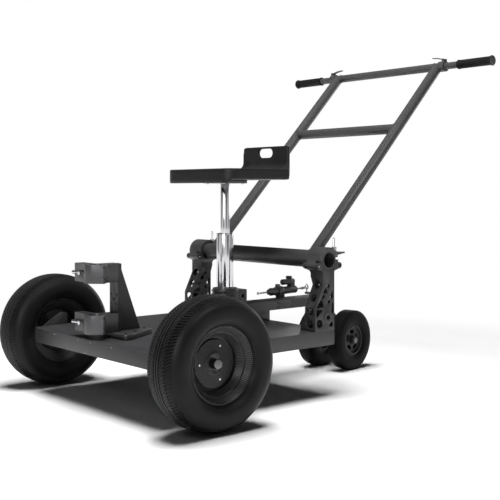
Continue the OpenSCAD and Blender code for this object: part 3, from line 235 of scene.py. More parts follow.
def surface_grain() -> bpy.types.NodeTree:
    """Builds the group for a fine blasted or moulded grain.

    Returns:
        A group that gives a Height for the bump and a Tone for slow colour change.
    """
    desk = GroupDesk("surface_grain", {"Grains per metre": 900.0, "Patch size": 7.0}, ("Height", "Tone"))
    place = desk.given["Vector"]
    fine = desk.noise(place, Scale=desk.given["Grains per metre"], Detail=3.0, Roughness=0.62)
    slow = desk.noise(place, Scale=desk.given["Patch size"], Detail=4.0, Distortion=0.6)
    desk.join(fine, desk.results["Height"])
    desk.join(desk.span(slow, 0.35, 0.65, 0.0, 1.0), desk.results["Tone"])
    return desk.tree


def edge_rub() -> bpy.types.NodeTree:
    """Builds the group for edges that handling has rubbed.

    Returns:
        A group that gives a Mask, which is 1 where the finish is rubbed.
    """
    desk = GroupDesk("edge_rub", {"Edge": 0.0, "Amount": 0.6}, ("Mask",))
    patches = desk.noise(desk.given["Vector"], Scale=46.0, Detail=5.0)
    broken = desk.span(patches, 0.38, 0.62, 0.15, 1.0)
    rubbed = desk.math("MULTIPLY", desk.given["Edge"], broken)
    desk.join(desk.math("MULTIPLY", rubbed, desk.given["Amount"], clamp=True), desk.results["Mask"])
    return desk.tree


def settled_dust() -> bpy.types.NodeTree:
    """Builds the group for a thin film of dust and hand marks.

    Returns:
        A group that gives a Mask, stronger on faces that look upwards.
    """
    desk = GroupDesk("settled_dust", {"Amount": 0.2}, ("Mask",))
    parts = desk.add("ShaderNodeSeparateXYZ")
    desk.join(desk.add("ShaderNodeNewGeometry").outputs["Normal"], parts.inputs[0])
    up = desk.span(parts.outputs["Z"], 0.1, 1.0, 0.25, 1.0)
    marks = desk.noise(desk.given["Vector"], Scale=19.0, Detail=7.0, Roughness=0.66)
    film = desk.math("MULTIPLY", desk.span(marks, 0.42, 0.75, 0.0, 1.0), up)
    desk.join(desk.math("MULTIPLY", film, desk.given["Amount"], clamp=True), desk.results["Mask"])
    return desk.tree


def wheel_radius() -> bpy.types.NodeTree:
    """Builds the group that measures the distance from an axle along X through the origin.

    Returns:
        A group that gives the Radius.
    """
    desk = GroupDesk("wheel_radius", {}, ("Radius",))
    parts = desk.add("ShaderNodeSeparateXYZ")
    desk.join(desk.given["Vector"], parts.inputs[0])
    squares = [desk.math("POWER", parts.outputs[way], 2.0) for way in ("Y", "Z")]
    desk.join(desk.math("SQRT", desk.math("ADD", *squares)), desk.results["Radius"])
    return desk.tree


GROUPS: dict[str, bpy.types.NodeTree] = {}


def group_named(name: str) -> bpy.types.NodeTree:
    """Gives a shader group, and builds it on its first use."""
    makers = {
        "surface_grain": surface_grain,
        "edge_rub": edge_rub,
        "settled_dust": settled_dust,
        "wheel_radius": wheel_radius,
    }
    if name not in GROUPS:
        GROUPS[name] = makers[name]()
    return GROUPS[name]


# finishes


@dataclass(frozen=True)
class Finish:
    """A surface finish: colours, gloss, grain, worn edges and dust."""

    name: str
    colour: Point
    tone: Point
    # edge wear colour; the tyre also gives it to its lighter tread tops, as painted shade in the grooves
    worn_and_lit_top: Point
    rough: float
    metal: float = 0.0
    rough_change: float = 0.06
    grains: float = 900.0
    grain_depth: float = 0.00005
    patch: float = 7.0
    wear: float = 0.5
    dust: float = 0.15
    dust_colour: Point = (0.30, 0.29, 0.28)
    specular: float = 0.5
    dust_rough: float = 0.35
    rub_rough: float = -0.12

    def build(self) -> bpy.types.Material:
        """Makes the material.

        Returns:
            A node material on Object coordinates.
        """
        material = bpy.data.materials.new(self.name)
        material.use_nodes = True
        tree = material.node_tree
        tree.nodes.clear()
        desk = NodeDesk(tree)
        out = desk.add("ShaderNodeOutputMaterial")
        shader = desk.add("ShaderNodeBsdfPrincipled")
        desk.join(shader.outputs[0], out.inputs[0])
        place = desk.add("ShaderNodeTexCoord").outputs["Object"]
        grain = self.group(desk, "surface_grain", place, {"Grains per metre": self.grains, "Patch size": self.patch})
        edge = desk.add("ShaderNodeAttribute", attribute_name="rub", attribute_type="GEOMETRY").outputs["Fac"]
        rub = self.group(desk, "edge_rub", place, {"Edge": edge, "Amount": self.wear})
        dust = self.group(desk, "settled_dust", place, {"Amount": self.dust})
        colour = desk.blend(grain.outputs["Tone"], (*self.colour, 1), (*self.tone, 1))
        colour = desk.blend(rub.outputs["Mask"], colour, (*self.worn_and_lit_top, 1))
        colour = desk.blend(dust.outputs["Mask"], colour, (*self.dust_colour, 1))
        colour = self.tint(desk, place, colour)
        desk.join(colour, shader.inputs["Base Color"])
        rough = desk.math("MULTIPLY_ADD", grain.outputs["Tone"], self.rough_change, self.rough)
        rough = desk.math("MULTIPLY_ADD", dust.outputs["Mask"], self.dust_rough, rough)
        rough = desk.math("MULTIPLY_ADD", rub.outputs["Mask"], self.rub_rough, rough, clamp=True)
        desk.join(rough, shader.inputs["Roughness"])
        shader.inputs["Metallic"].default_value = self.metal
        shader.inputs["Specular IOR Level"].default_value = self.specular
        height = self.relief(desk, place, grain.outputs["Height"])
        bump = desk.add("ShaderNodeBump")
        bump.inputs["Strength"].default_value = 1.0
        bump.inputs["Distance"].default_value = self.grain_depth
        desk.join(height, bump.inputs["Height"])
        desk.join(bump.outputs[0], shader.inputs["Normal"])
        return material

    def group(self, desk: NodeDesk, name: str, place: Socket, values: dict[str, object]) -> bpy.types.Node:
        """Places a shader group with its own values.

        Args:
            desk: Where the node goes.
            name: The group's name.
            place: The coordinates it reads.
            values: Its other inputs.

        Returns:
            The group node.
        """
        node = desk.add("ShaderNodeGroup")
        node.node_tree = group_named(name)
        desk.join(place, node.inputs["Vector"])
        for key, value in values.items():
            desk.join(value, node.inputs[key])
        return node

    def relief(self, desk: NodeDesk, place: Socket, grain: Socket) -> Socket:
        """Gives the height for the bump, in units of grain_depth."""
        return grain

    def tint(self, desk: NodeDesk, place: Socket, colour: Socket) -> Socket:
        """Gives the colour after changes that only some finishes have."""
        return colour


@dataclass(frozen=True)
class TyreRubber(Finish):
    """Big tyre rubber: tread tops lighter than the groove floors, which is painted shade in the grooves, and thin
    moulded rings on the sidewalls.
    """

    rings: tuple[float, ...] = (0.1225, 0.126, 0.1765)
    ring_width: float = 0.0007
    ring_depth: float = 0.0004
    # radii over which the tread tops lighten, and by how much: painted shade left in the groove floors below them
    tread: tuple[float, float] = (0.196, 0.1985)
    painted_groove_shade: float = 0.35

    def radius(self, desk: NodeDesk, place: Socket) -> Socket:
        """Gives the distance from the front axle."""
        centred = desk.add("ShaderNodeMapping")
        centred.inputs["Location"].default_value = (0.0, -AXLE_Y, -AXLE_Z)
        desk.join(place, centred.inputs["Vector"])
        return self.group(desk, "wheel_radius", centred.outputs[0], {}).outputs["Radius"]

    def relief(self, desk: NodeDesk, place: Socket, grain: Socket) -> Socket:
        """Adds the moulded rings of the sidewalls to the grain."""
        radius = self.radius(desk, place)
        height = grain
        for ring in self.rings:
            away = desk.math("ABSOLUTE", desk.math("SUBTRACT", radius, ring))
            ridge = desk.span(away, 0.0, self.ring_width, self.ring_depth / self.grain_depth, 0.0)
            height = desk.math("ADD", height, ridge)
        return height

    def tint(self, desk: NodeDesk, place: Socket, colour: Socket) -> Socket:
        """Lightens the tops of the tread a little, so the groove floors stay darker: painted shade in the grooves.
        """
        top = desk.span(self.radius(desk, place), *self.tread, 0.0, self.painted_groove_shade)
        return desk.blend(top, colour, (*self.worn_and_lit_top, 1))


FINISHES: dict[Shade, Finish] = {
    Shade.ANODISED: Finish(
        "anodised_charcoal", (0.046, 0.046, 0.048), (0.056, 0.056, 0.059), (0.24, 0.24, 0.245), 0.36,
        metal=0.35, grains=1500.0, grain_depth=0.00002, wear=0.6, dust=0.10, dust_colour=(0.16, 0.16, 0.155),
    ),
    Shade.TUBE: Finish(
        "anodised_tube", (0.080, 0.080, 0.082), (0.084, 0.084, 0.086), (0.30, 0.30, 0.305), 0.42,
        metal=0.5, rough_change=0.02, grains=35.0, grain_depth=0.000001, wear=0.4, dust=0.02,
        dust_colour=(0.16, 0.16, 0.155),
    ),
    Shade.SATIN: Finish(
        "anodised_satin", (0.085, 0.085, 0.088), (0.11, 0.11, 0.114), (0.36, 0.36, 0.37), 0.32,
        metal=0.6, grains=1200.0, grain_depth=0.00002, wear=0.7, dust=0.08, dust_colour=(0.2, 0.2, 0.19),
    ),
    Shade.POLISHED: Finish(
        "polished_steel", (0.72, 0.72, 0.74), (0.78, 0.78, 0.80), (0.86, 0.86, 0.87), 0.08,
        metal=1.0, rough_change=0.05, grains=300.0, grain_depth=0.00001, wear=0.2, dust=0.05,
    ),
    Shade.STEEL: Finish(
        "turned_steel", (0.13, 0.13, 0.133), (0.17, 0.17, 0.173), (0.45, 0.45, 0.46), 0.30,
        metal=1.0, rough_change=0.06, grains=600.0, grain_depth=0.00002, wear=0.4, dust=0.08,
    ),
    Shade.TYRE: TyreRubber(
        "tyre_rubber", (0.0085, 0.0085, 0.009), (0.012, 0.012, 0.0125), (0.05, 0.05, 0.05), 0.36, specular=0.16,
        rough_change=0.08, grains=700.0, grain_depth=0.00008, wear=0.3, dust=0.10, dust_colour=(0.06, 0.06, 0.057),
    ),
    Shade.SOLID_TYRE: Finish(
        "solid_tyre_rubber", (0.0040, 0.0040, 0.0043), (0.006, 0.006, 0.0063), (0.02, 0.02, 0.02), 0.36,
        specular=0.06, rough_change=0.08, grains=700.0, grain_depth=0.00008, wear=0.3, dust=0.10,
        dust_colour=(0.06, 0.06, 0.057),
    ),
    # a lighter copy of the rim's dark metal for the rim ribs and hub cups: painted light, which sets them off
    # against the darker rim in the rib gaps
    Shade.RIB: Finish(
        "rim_ribs", (0.075, 0.075, 0.077), (0.09, 0.09, 0.093), (0.24, 0.24, 0.245), 0.36,
        metal=0.4, grains=1500.0, grain_depth=0.00002, wear=0.5, dust=0.05, dust_colour=(0.12, 0.12, 0.12),
    ),
    Shade.RIM: Finish(
        "rim_metal", (0.024, 0.024, 0.025), (0.032, 0.032, 0.033), (0.16, 0.16, 0.165), 0.30, specular=0.25,
        metal=0.3, grains=1500.0, grain_depth=0.00003, wear=0.7, dust=0.06, dust_colour=(0.12, 0.12, 0.12),
    ),
    Shade.GRIP: Finish(
        "grip_rubber", (0.008, 0.008, 0.008), (0.011, 0.011, 0.011), (0.03, 0.03, 0.03), 0.46, specular=0.10,
        grains=1100.0, grain_depth=0.0001, wear=0.3, dust=0.08, dust_colour=(0.07, 0.07, 0.07),
    ),
    Shade.MOULDED: Finish(
        "moulded_plastic", (0.011, 0.011, 0.0115), (0.015, 0.015, 0.0155), (0.04, 0.04, 0.04), 0.34, specular=0.3,
        grains=1000.0, grain_depth=0.00006, wear=0.25, dust=0.10, dust_colour=(0.08, 0.08, 0.08),
    ),
    Shade.BLACK_SCREW: Finish(
        "black_oxide", (0.010, 0.010, 0.0105), (0.014, 0.014, 0.0145), (0.08, 0.08, 0.08), 0.28,
        metal=0.6, wear=0.6,
    ),
    Shade.BRIGHT_SCREW: Finish(
        "bright_zinc", (0.62, 0.62, 0.63), (0.70, 0.70, 0.71), (0.80, 0.80, 0.80), 0.22, metal=1.0, wear=0.3,
    ),
}
MATERIALS: dict[Shade, bpy.types.Material] = {}


def material_for(shade: Shade) -> bpy.types.Material:
    """Gives a finish's material, and builds it on its first use."""
    if shade not in MATERIALS:
        MATERIALS[shade] = FINISHES[shade].build()
    return MATERIALS[shade]


# workshop


def placed(name: str, data: bpy.types.ID) -> bpy.types.Object:
    """Puts an object with its data into the scene."""
    piece = bpy.data.objects.new(name, data)
    bpy.context.scene.collection.objects.link(piece)
    return piece


def mesh_of(bm: BMesh, name: str) -> bpy.types.Mesh:
    """Turns a bmesh into a mesh, and frees it."""
    mesh = bpy.data.meshes.new(name)
    bm.to_mesh(mesh)
    bm.free()
    return mesh


def spin_section(bm: BMesh, loop: list[bmesh.types.BMVert], axis: Point, steps: int, closed: bool = True) -> None:
    """Joins a section's points and turns it about an axis through the origin.

    Args:
        bm: The mesh that holds the points.
        loop: The section's points in order.
        axis: The axis.
        steps: Faces round it.
        closed: Whether the last point joins the first.
    """
    ends = loop[1:] + loop[:1] if closed else loop[1:]
    edges = [bm.edges.new(pair) for pair in zip(loop, ends)]
    bmesh.ops.spin(bm, geom=loop + edges, cent=(0, 0, 0), axis=axis, angle=math.tau, steps=steps, use_merge=True)


def deliver(
    bm: BMesh, name: str, body: str, shade: Shade, replaces: Iterable[str] = (), crease: float = 32.0
) -> bpy.types.Object:
    """Turns a finished bmesh into a piece that rides on its body.

    Args:
        bm: The mesh, in the cart's frame. It is freed.
        name: The piece's name.
        body: The body that it rides on.
        shade: Its finish.
        replaces: CAD nodes that it stands for.
        crease: Angle in degrees past which an edge stays sharp.

    Returns:
        The new object.
    """
    bm.normal_update()
    mesh = mesh_of(bm, name)
    mesh.shade_smooth()
    mesh.set_sharp_from_angle(angle=math.radians(crease))
    mesh.materials.append(material_for(shade))
    piece = placed(name, mesh)
    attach(piece, body)
    names = list(replaces)
    if names:
        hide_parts(*names)
    LOG.info("%s: %d faces, on %s", name, len(mesh.polygons), body)
    return piece


def node_copy(node: str) -> BMesh:
    """Gives a merged copy of a CAD node's mesh, with its flat faces joined up."""
    bm = bmesh.new()
    bm.from_mesh(frame["nodes"][node].data)
    bmesh.ops.remove_doubles(bm, verts=bm.verts, dist=2e-6)
    bmesh.ops.dissolve_limit(
        bm, angle_limit=math.radians(0.6), use_dissolve_boundaries=False, verts=bm.verts, edges=bm.edges,
        delimit={"NORMAL"},
    )
    return bm


def break_edges(bm: BMesh, width: float, segments: int = 2, sharper_than: float = 34.0) -> None:
    """Rounds a mesh's sharp edges and marks the new faces as rubbed.

    Args:
        bm: The mesh.
        width: Width of the rounding in metres.
        segments: Faces across it.
        sharper_than: Angle in degrees past which an edge is sharp.
    """
    layer = bm.faces.layers.float.get("rub") or bm.faces.layers.float.new("rub")
    limit = math.radians(sharper_than)
    sharp = [e for e in bm.edges if e.is_manifold and e.calc_face_angle(0.0) > limit]
    if not sharp:
        return
    made = bmesh.ops.bevel(
        bm, geom=sharp, offset=width, offset_type="OFFSET", affect="EDGES", segments=segments, profile=0.5,
        material=-1, clamp_overlap=True, loop_slide=True, harden_normals=False,
    )
    for face in made["faces"]:
        face[layer] = 1.0


# dressed CAD nodes


@dataclass(frozen=True)
class Dress:
    """How one CAD node is finished: its shade and the width of its broken edges."""

    shade: Shade
    edge: float = 0.0007
    segments: int = 2


def paired(stem: str, dress: Dress, ends: Sequence[str] = ("left", "right")) -> dict[str, Dress]:
    """Gives the same dress to both nodes of a pair."""
    return {f"{stem}_{end}": dress for end in ends}


LEVELS = ("upper", "lower")
DRESSES: dict[str, Dress] = {
    "deck": Dress(Shade.ANODISED, 0.0016, 3),
    "front_axle": Dress(Shade.POLISHED),
    "axle_nuts": Dress(Shade.STEEL),
    **paired("axle_plate", Dress(Shade.ANODISED)),
    "tower_base": Dress(Shade.ANODISED, 0.001),
    "tower_post": Dress(Shade.ANODISED),
    "tower_gusset": Dress(Shade.ANODISED),
    **paired("pipe_saddle", Dress(Shade.SATIN), LEVELS),
    **paired("pipe_gate", Dress(Shade.SATIN), LEVELS),
    **paired("pipe_lever", Dress(Shade.POLISHED, 0.0005), LEVELS),
    "hinge_pins": Dress(Shade.POLISHED, 0.0005),
    "spine_beam": Dress(Shade.ANODISED, 0.001),
    "beam_legs": Dress(Shade.ANODISED),
    "steering_head": Dress(Shade.ANODISED),
    "mast_foot": Dress(Shade.ANODISED),
    "mast_tube": Dress(Shade.POLISHED),
    "seat_post": Dress(Shade.POLISHED),
    "seat_plate": Dress(Shade.SATIN),
    **paired("bracket", Dress(Shade.ANODISED, 0.0010)),
    **paired("cap", Dress(Shade.SATIN, 0.0018, 3)),
    **paired("cap_screw", Dress(Shade.POLISHED, 0.0004)),
    **paired("cap_lever", Dress(Shade.POLISHED, 0.0004)),
    "snap_rings": Dress(Shade.SATIN, 0.0004),
    **paired("snap_lever", Dress(Shade.ANODISED, 0.0005)),
    **paired("grip_tube", Dress(Shade.TUBE, 0.0004)),
    **paired("grip", Dress(Shade.GRIP, 0.0008)),
    **paired("rim", Dress(Shade.RIM, 0.0008)),
    **paired("hub", Dress(Shade.RIM, 0.0014, 3)),
    "caster_fork": Dress(Shade.ANODISED, 0.001),
    "steering_arm": Dress(Shade.SATIN),
    "caster_axle": Dress(Shade.STEEL, 0.0005),
    **paired("small_tyre", Dress(Shade.SOLID_TYRE, 0.001)),
    **paired("small_disc", Dress(Shade.MOULDED, 0.001)),
    "damper_body": Dress(Shade.SATIN, 0.0004),
    "damper_clamp": Dress(Shade.SATIN, 0.0006),
    "damper_tank": Dress(Shade.ANODISED, 0.0005),
    "damper_knob": Dress(Shade.MOULDED, 0.0005),
    "damper_rod": Dress(Shade.POLISHED, 0.0003),
}


def body_of_node(node: str) -> str:
    """Gives the body that a CAD node belongs to."""
    return frame["nodes"][node]["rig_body"]


def dress_node(node: str, dress: Dress) -> bpy.types.Object:
    """Replaces a CAD node by a copy with broken edges and its finish.

    Args:
        node: The CAD node.
        dress: How it is finished.

    Returns:
        The new object.
    """
    bm = node_copy(node)
    break_edges(bm, dress.edge, dress.segments)
    return deliver(bm, f"{node}_finished", body_of_node(node), dress.shade, [node])


# fasteners


def facing(place: Point, direction: Point) -> Matrix:
    """Gives the transform that stands a piece at a place, its Z along a direction."""
    turn = Vector(direction).normalized().to_track_quat("Z", "Y").to_matrix().to_4x4()
    return Matrix.Translation(Vector(place)) @ turn


def stamp(bm: BMesh, mesh: bpy.types.Mesh, place: Matrix) -> None:
    """Adds a copy of a mesh to a bmesh at a place."""
    start = len(bm.verts)
    bm.from_mesh(mesh)
    bm.verts.ensure_lookup_table()
    bmesh.ops.transform(bm, matrix=place, verts=bm.verts[start:])


def grown(
    bm: BMesh, edges: list[bmesh.types.BMEdge], radius: float | None, height: float
) -> list[bmesh.types.BMEdge]:
    """Extrudes a ring of edges and sets the new ring's radius and height.

    Args:
        bm: The mesh.
        edges: The ring to extrude.
        radius: The new ring's radius, or None to keep each point's own.
        height: The new ring's height.

    Returns:
        The new ring.
    """
    made = bmesh.ops.extrude_edge_only(bm, edges=edges)["geom"]
    for vert in (g for g in made if isinstance(g, bmesh.types.BMVert)):
        if radius is not None:
            flat = Vector((vert.co.x, vert.co.y, 0.0)).normalized() * radius
            vert.co.x, vert.co.y = flat.x, flat.y
        vert.co.z = height
    return [g for g in made if isinstance(g, bmesh.types.BMEdge)]


@dataclass(frozen=True)
class SocketHead:
    """Screw head with a hexagon socket."""

    radius: float = 0.0045
    height: float = 0.0022
    socket: float = 0.0021
    depth: float = 0.0016
    domed: bool = False

    def shape(self) -> bpy.types.Mesh:
        """Models one head, its seat at the origin and Z outwards.

        Returns:
            The head's mesh.
        """
        top = self.height
        bm = bmesh.new()
        made = bmesh.ops.create_circle(bm, cap_ends=True, segments=6, radius=self.socket)
        for vert in made["verts"]:
            vert.co.z = top - self.depth
        ring = grown(bm, list(bm.edges), None, top)
        ring = grown(bm, ring, None, top)
        bmesh.ops.subdivide_edges(bm, edges=ring, cuts=3)
        inner = self.radius * (0.62 if self.domed else 0.86)
        ring = [e for e in bm.edges if e.is_boundary]
        for vert in {v for e in ring for v in e.verts}:
            flat = Vector((vert.co.x, vert.co.y, 0.0)).normalized() * inner
            vert.co.x, vert.co.y = flat.x, flat.y
        ring = grown(bm, ring, self.radius * 0.96, top - self.height * (0.42 if self.domed else 0.12))
        ring = grown(bm, ring, self.radius, top - self.height * (0.75 if self.domed else 0.3))
        ring = grown(bm, ring, self.radius, -0.0004)
        bmesh.ops.contextual_create(bm, geom=ring)
        bmesh.ops.recalc_face_normals(bm, faces=bm.faces)
        return mesh_of(bm, "socket_head")


@dataclass(frozen=True)
class ScrewSet:
    """Screws of one kind that ride on one body."""

    name: str
    body: str
    shade: Shade
    head: SocketHead
    places: tuple[tuple[Point, Point], ...]

    def build(self) -> bpy.types.Object:
        """Builds every screw of the set as one piece."""
        bm = bmesh.new()
        head = self.head.shape()
        for place, direction in self.places:
            stamp(bm, head, facing(place, direction))
        bpy.data.meshes.remove(head)
        return deliver(bm, self.name, self.body, self.shade, crease=30.0)


def hub_spots(side: int) -> tuple[tuple[Point, Point], ...]:
    """Gives the places of a big wheel's three hub bolts."""
    face, circle = side * (HALF_TRACK + 0.0104), 0.054
    turns = [math.radians(angle) for angle in (66.0, 180.0, 294.0)]
    return tuple(
        ((face, AXLE_Y + circle * math.cos(turn), AXLE_Z + circle * math.sin(turn)), (float(side), 0.0, 0.0))
        for turn in turns
    )


def flange_spots() -> tuple[tuple[Point, Point], ...]:
    """Gives the places of the screws round the mast's flange, on the sides that the block leaves free."""
    circle = 0.0535
    turns = [math.radians(angle) for angle in (200, 240, 300, 340, 160, 20)]
    return tuple(((circle * math.cos(a), MAST_Y + circle * math.sin(a), 0.309), (0.0, 0.0, 1.0)) for a in turns)


CAP_BOSS_SPOTS: tuple[tuple[Point, Point], ...] = tuple(
    ((side * DECK_HALF, y, 0.448), (float(side), 0.0, 0.0)) for side in (-1, 1) for y in (-0.0175, 0.0795)
)
SCREW_SETS: tuple[ScrewSet, ...] = (
    *(
        ScrewSet(
            f"hub_bolts_{label}", f"wheel_{label}", Shade.BRIGHT_SCREW, SocketHead(0.0030, 0.0018, 0.0014, 0.0010),
            hub_spots(side),
        )
        for side, label in SIDES
    ),
    ScrewSet(
        "front_panel_screws", "frame", Shade.BRIGHT_SCREW, SocketHead(0.0021, 0.0010, 0.0010, 0.0007, True),
        tuple(((x, AXLE_Y - 0.139, z), (0.0, -1.0, 0.0)) for x, z in (
            (-0.215, 0.2195), (-0.0605, 0.2195), (0.016, 0.2195), (0.1395, 0.2195), (-0.0185, 0.183),
        )),
    ),
    ScrewSet(
        "tower_base_screws", "frame", Shade.BLACK_SCREW, SocketHead(0.0055, 0.0012, 0.0028, 0.0018),
        tuple(((x, AXLE_Y + y, 0.2455), (0.0, 0.0, 1.0)) for x, y in (
            (-0.082, -0.048), (0.082, -0.048), (-0.05, 0.01), (0.05, 0.01), (0.0, 0.078),
        )),
    ),
    ScrewSet(
        "side_plate_screws", "frame", Shade.BRIGHT_SCREW, SocketHead(0.005, 0.002, 0.0025, 0.0014, True),
        tuple(
            ((side * (DECK_HALF + 0.008), AXLE_Y + y, z), (float(side), 0.0, 0.0))
            for side in (-1, 1) for y, z in ((-0.0084, 0.258), (-0.096, 0.206), (-0.05, 0.206), (0.03, 0.212))
        ),
    ),
    ScrewSet(
        "beam_screws", "frame", Shade.BLACK_SCREW, SocketHead(0.0065, 0.0012, 0.0033, 0.003),
        tuple(((x, AXLE_Y + y, 0.297), (0.0, 0.0, 1.0)) for y in (0.545, 0.59) for x in (-0.02, 0.02)),
    ),
    ScrewSet(
        "mast_flange_screws", "frame", Shade.BLACK_SCREW, SocketHead(0.006, 0.005, 0.003, 0.003), flange_spots(),
    ),
    ScrewSet(
        "cap_boss_screws", "frame", Shade.BLACK_SCREW, SocketHead(0.0062, 0.0008, 0.0032, 0.002), CAP_BOSS_SPOTS,
    ),
    ScrewSet(
        "seat_plate_screws", "seat", Shade.BRIGHT_SCREW, SocketHead(0.0055, 0.003, 0.0028, 0.0018, True),
        tuple(((x, MAST_Y + y, 0.7313), (0.0, 0.0, -1.0)) for x in (-0.045, 0.045) for y in (-0.045, 0.045)),
    ),
)


# turned rings


@dataclass(frozen=True)
class RibRing:
    """Band of fine radial ribs on a cone of a rim's inner face."""

    ribs: int = 112
    lift: float = 0.0007
    sink: float = 0.0012
    thick: float = 0.002
    bands: tuple[tuple[tuple[float, float], tuple[float, float]], ...] = (
        ((0.0792, 0.0158), (0.0926, 0.0344)), ((0.0958, 0.0383), (0.1080, 0.0509)),
    )

    def add(
        self, bm: BMesh, middle: Vector, face: int, inner: tuple[float, float], outer: tuple[float, float]
    ) -> None:
        """Turns one band about the axle and sinks the gaps between its ribs.

        Args:
            bm: The mesh that takes the band.
            middle: The rim's middle.
            face: 1 for the rim's outer face on the left, -1 for the other.
            inner: Radius and distance from the middle where the band starts.
            outer: Radius and distance from the middle where it ends.
        """
        mark = bm.verts.layers.int.get("corner") or bm.verts.layers.int.new("corner")
        start = len(bm.verts)
        low, high = Vector(inner), Vector(outer)
        along = (high - low).normalized()
        out = Vector((-along.y, along.x))
        corners = [low + out * self.lift, high + out * self.lift, high - out * self.thick, low - out * self.thick]
        loop = [bm.verts.new((corner.y, 0.0, corner.x)) for corner in corners]
        for i, vert in enumerate(loop):
            vert[mark] = i + 1
        steps = 4 * self.ribs
        spin_section(bm, loop, ACROSS, steps)
        bm.verts.ensure_lookup_table()
        for vert in bm.verts[start:]:
            turn = math.atan2(vert.co.z, -vert.co.y) / (2 * math.pi)
            gap = round(turn * steps) % 4 >= 2 and vert[mark] in (1, 2)
            sunk = corners[vert[mark] - 1] - out * (self.lift + self.sink) * gap
            angle = 2 * math.pi * turn
            vert.co = middle + Vector((face * sunk.y, -sunk.x * math.cos(angle), sunk.x * math.sin(angle)))

    def build(self, label: str, side: int) -> bpy.types.Object:
        """Builds the four bands of one rim.

        Args:
            label: Which wheel.
            side: 1 for the left wheel, -1 for the right.

        Returns:
            The new object.
        """
        bm = bmesh.new()
        middle = Vector((side * HALF_TRACK, AXLE_Y, AXLE_Z))
        for face in (1, -1):
            for band in self.bands:
                self.add(bm, middle, face, *band)
        bmesh.ops.recalc_face_normals(bm, faces=bm.faces)
        return deliver(bm, f"rim_ribs_{label}", f"wheel_{label}", Shade.RIB, crease=25.0)


@dataclass(frozen=True)
class TurnedRing:
    """Turned ring with rounded edges, from a closed section of radius and height points."""

    name: str
    body: str
    shade: Shade
    section: tuple[tuple[float, float], ...]
    places: tuple[tuple[Point, Point], ...]
    replaces: tuple[str, ...] = ()
    edge: float = 0.0004
    steps: int = 72

    def build(self) -> bpy.types.Object:
        """Turns the section once and stamps the ring at every place.

        Returns:
            The new object.
        """
        ring = bmesh.new()
        loop = [ring.verts.new((radius, 0.0, height)) for radius, height in self.section]
        closed = min(radius for radius, _ in self.section) > 1e-6
        spin_section(ring, loop, (0.0, 0.0, 1.0), self.steps, closed)
        bmesh.ops.remove_doubles(ring, verts=ring.verts, dist=1e-6)
        bmesh.ops.recalc_face_normals(ring, faces=ring.faces)
        break_edges(ring, self.edge)
        mesh = mesh_of(ring, "turned")
        bm = bmesh.new()
        for place, direction in self.places:
            stamp(bm, mesh, facing(place, direction))
        bpy.data.meshes.remove(mesh)
        return deliver(bm, self.name, self.body, self.shade, self.replaces, crease=30.0)


def sleeve(bore: float, radius: float, half: float) -> tuple[tuple[float, float], ...]:
    """Gives the section of a plain tube, or of a bar where the bore is 0."""
    return ((bore, -half), (radius, -half), (radius, half), (bore, half))


CUP_SECTION = (
    (0.0157, 0.0020), (0.0258, 0.0020), (0.0272, 0.0118), (0.0255, 0.0118), (0.0225, 0.0085), (0.0157, 0.0085),
)
LEG_SECTION = (
    (0.0, 0.0268), (LEG_RADIUS, 0.0268), (LEG_RADIUS, LEG_LENGTH - 0.002), (0.0176, LEG_LENGTH - 0.002),
    (0.0176, LEG_LENGTH - 0.015), (0.0, LEG_LENGTH - 0.015),
)
CAP_SECTION = ((0.0, -0.001), (0.0182, -0.001), (0.0182, 0.0004), (0.0165, 0.0009), (0.0, 0.0009))
BOSS_SECTION = ((0.0068, -0.0006), (0.0102, -0.0006), (0.0102, 0.0012), (0.0068, 0.0012))
TURNED_RINGS: tuple[TurnedRing, ...] = (
    *(
        # hub cups in the lighter rib finish: painted light on the raised rings
        TurnedRing(
            f"hub_cup_{label}", f"wheel_{label}", Shade.RIB, CUP_SECTION,
            (((side * HALF_TRACK, AXLE_Y, AXLE_Z), (float(side), 0.0, 0.0)),),
        )
        for side, label in SIDES
    ),
    TurnedRing(
        "handle_leg_tubes", "handle", Shade.TUBE, LEG_SECTION,
        tuple(((x, *CROSS_SPOT), LEG_WAY) for x in (-LEG_X, LEG_X)), ("handle_legs",),
    ),
    *(
        TurnedRing(name, "handle", Shade.TUBE, section, (((0.0, *spot), ACROSS),), (node,))
        for name, node, section, spot in (
            ("handle_crossbar", "crossbar", sleeve(0.0, BAR_RADIUS, 0.265), BAR_SPOT),
            ("handle_t_bar", "t_bar", sleeve(0.0136, TEE_RADIUS, 0.312), TEE_SPOT),
            ("main_cross_tube", "cross_tube", sleeve(0.0264, CROSS_RADIUS, 0.3677), CROSS_SPOT),
        )
    ),
    *(
        TurnedRing(
            f"grip_end_{label}", f"grip_{label}", Shade.SATIN, CAP_SECTION,
            (((side * GRIP_END, *TEE_SPOT), (float(side), 0.0, 0.0)),),
        )
        for side, label in SIDES
    ),
    TurnedRing("cap_boss_rings", "frame", Shade.SATIN, BOSS_SECTION, CAP_BOSS_SPOTS),
)


# big tyres


@dataclass(frozen=True)
class TreadColumn:
    """One line round the tread: its distance from the middle, its depth and that of the lug gaps."""

    x: float
    depth: float = 0.0
    lug: float = 0.0


